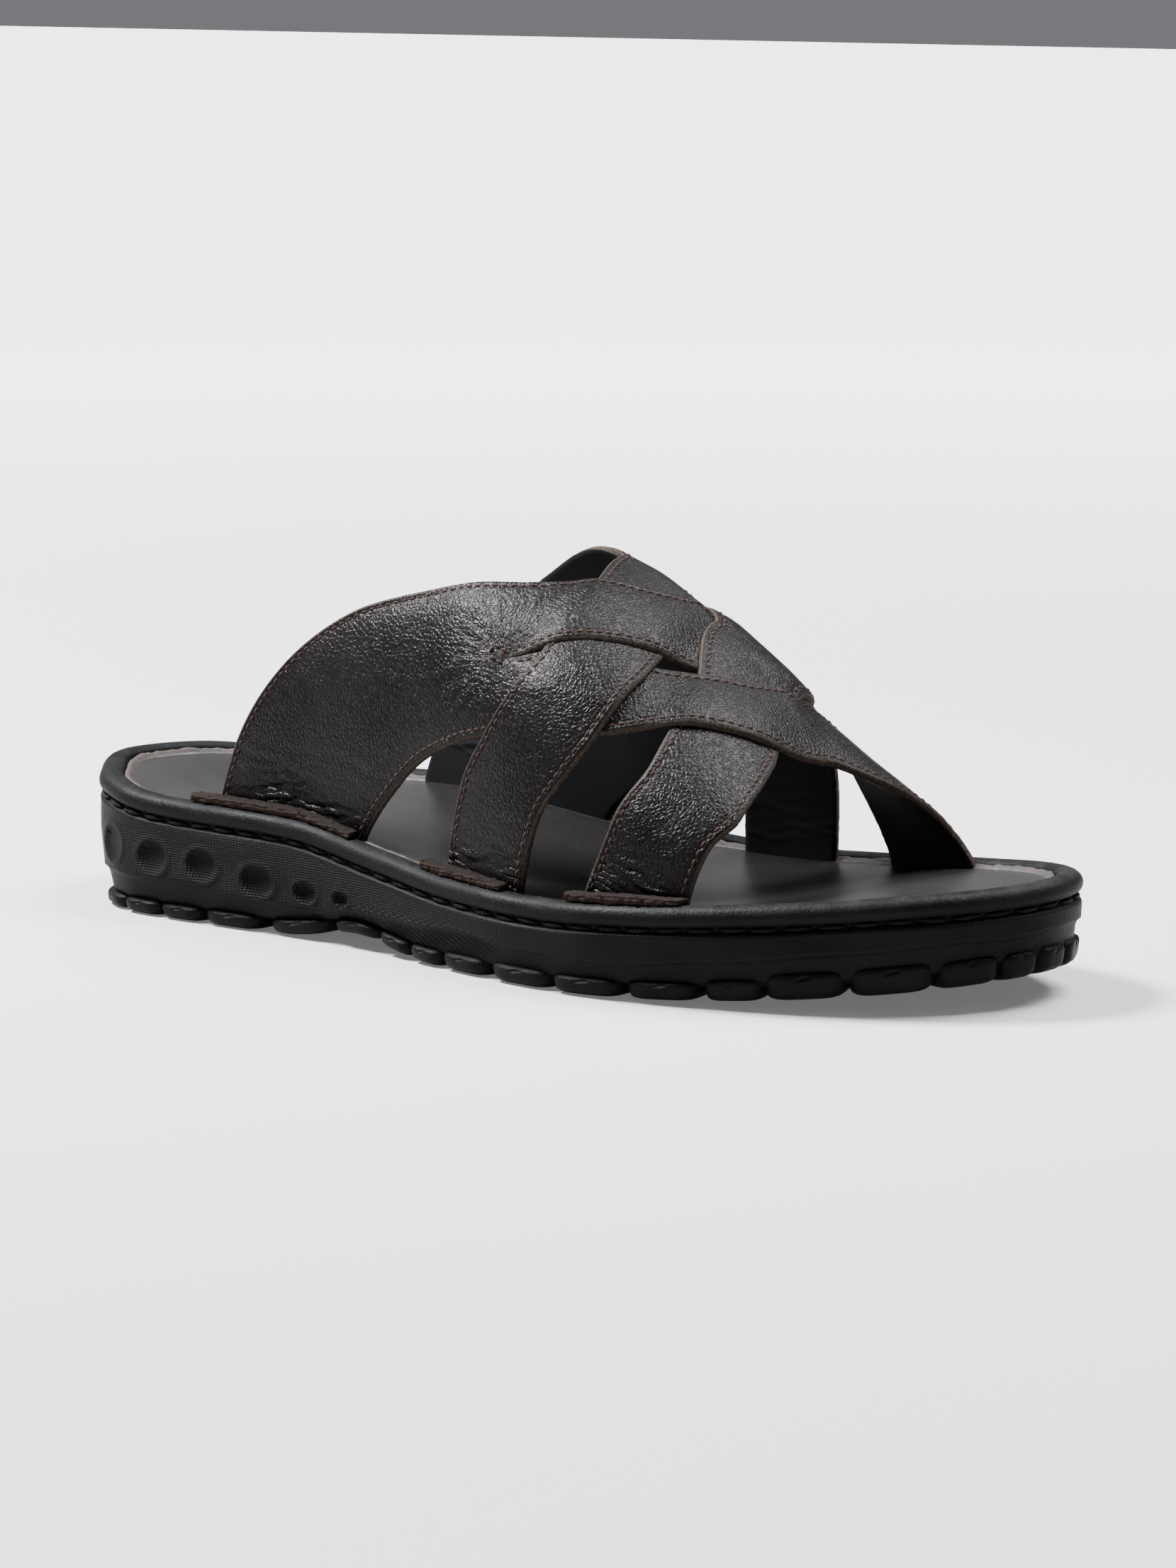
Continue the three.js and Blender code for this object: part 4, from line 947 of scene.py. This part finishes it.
section = [
    # across the strip and up through it, as shares
    (0.03, 0.1), (0, 0.35), (0.02, 0.7), (0.07, 0.93), (0.16, 1.0), (0.4, 1.02), (0.7, 1.0), (0.9, 0.99),
    (0.98, 0.9), (1, 0.55), (0.98, 0.15), (0.9, 0.02), (0.5, 0), (0.1, 0.02),
]
for name, start, stop in (("tab_rear", 0.208 * SOLE_LENGTH - 5, 0.378 * SOLE_LENGTH),
                          ("tab_middle", 0.49 * SOLE_LENGTH - 5, 0.584 * SOLE_LENGTH - 2.5),
                          ("tab_front", 0.655 * SOLE_LENGTH - 1.5, 0.753 * SOLE_LENGTH + 1)):
    x = np.linspace(start, stop, TAB_ROWS)
    near = np.interp(x, *side_line(RIM_WIDTH - TAB_WIDE, -1))
    far = np.interp(x, *side_line(RIM_WIDTH - 0.1, -1))
    slim = 1 - 0.35 * smooth(0.5, 1.0, (x - x[0]) / (x[-1] - x[0]))
    floor_z = groove_z(x, near) + RIM_RISE + 0.12
    rim = []
    for part, up_part in section:
        ragged = np.interp(x, np.linspace(x[0], x[-1], 40), rng.normal(0, 0.2, 40))
        y = near + (far - near) * part + ragged * (part < 0.5)
        rim.append(np.column_stack([x, y, floor_z + TAB_THICK * slim * up_part + 0.5 * ragged]))
    size = len(section)
    faces = grid_faces(TAB_ROWS, size, closed=True).tolist()
    faces += [list(range(size)), list(range((TAB_ROWS - 1) * size, TAB_ROWS * size))]
    tab = mesh_object(name + "_leather", np.stack(rim, 1), faces, raw_leather)
    faces_out(tab)
    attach(tab, "root")
    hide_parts(name)

# ----------------------------------------
# Studio. A white paper sweep that glows, faintly by the sandal and strongly behind it, as painted light;
# a small strong light from above and the heel's outer side, a broad one from above and the inner side,
# a faint card behind, and a pale surround.
PAPER = (0.44, 0.44, 0.44)
CAMERA_AZIMUTH, CAMERA_ELEVATION = math.radians(38), math.radians(9.5)
CAMERA_DISTANCE = 1.4
CAMERA_LENS = 128
paper, tree, place = material("studio_paper")
away = add(tree, "ShaderNodeVectorMath", {0: place}, "Value", operation="LENGTH")
# Painted light: the paper glows by its own emission, 0.15 beside the sandal rising to 4.0 far behind it.
surface(tree, {"Base Color": PAPER, "Roughness": 0.9, "Emission Color": (1, 1, 1),
               "Emission Strength": away.ramp(0.30, 1.8, 0.15, 4.0)})
bpy.ops.mesh.primitive_plane_add(size=14, location=(0, 0, 0))
floor = bpy.context.object
floor.name = "studio_floor"
floor.data.materials.append(paper)

world = bpy.data.worlds.new("studio")
world.use_nodes = True
world.node_tree.nodes["Background"].inputs["Color"].default_value = (0.93, 0.95, 1, 1)
world.node_tree.nodes["Background"].inputs["Strength"].default_value = 0.2
bpy.context.scene.world = world
target = Vector((0.0, -MIDDLE_Y / 1000, 0.03))


def set_up(name, data, spot, aim):
    """Lamp or camera at a spot, turned to what it looks at."""
    made = linked(name, data)
    made.location = spot
    made.rotation_euler = (aim - Vector(spot)).to_track_quat("-Z", "Y").to_euler()
    return made


for name, spot, size, power in (("key_light", (-0.68, -0.24, 1.04), 0.36, 95.0),
                                ("top_light", (0.33, 0.52, 1.16), 0.8, 56.0),
                                ("back_card", (-1.20, 1.50, 0.78), 0.9, 0.9)):
    light = bpy.data.lights.new(name, "AREA")
    light.shape = "SQUARE"
    light.size = size
    light.energy = power
    set_up(name, light, spot, target)

# Camera at the photo's place, off the sandal's outer side and a little above it.
back = Vector((math.sin(CAMERA_AZIMUTH) * math.cos(CAMERA_ELEVATION),
               -math.cos(CAMERA_AZIMUTH) * math.cos(CAMERA_ELEVATION), math.sin(CAMERA_ELEVATION)))
lens = bpy.data.cameras.new("photo_camera")
lens.lens = CAMERA_LENS
lens.clip_start = 0.01
bpy.context.scene.camera = set_up("photo_camera", lens, target + back * CAMERA_DISTANCE,
                                  target + Vector((0.006, 0.006, 0.010)))
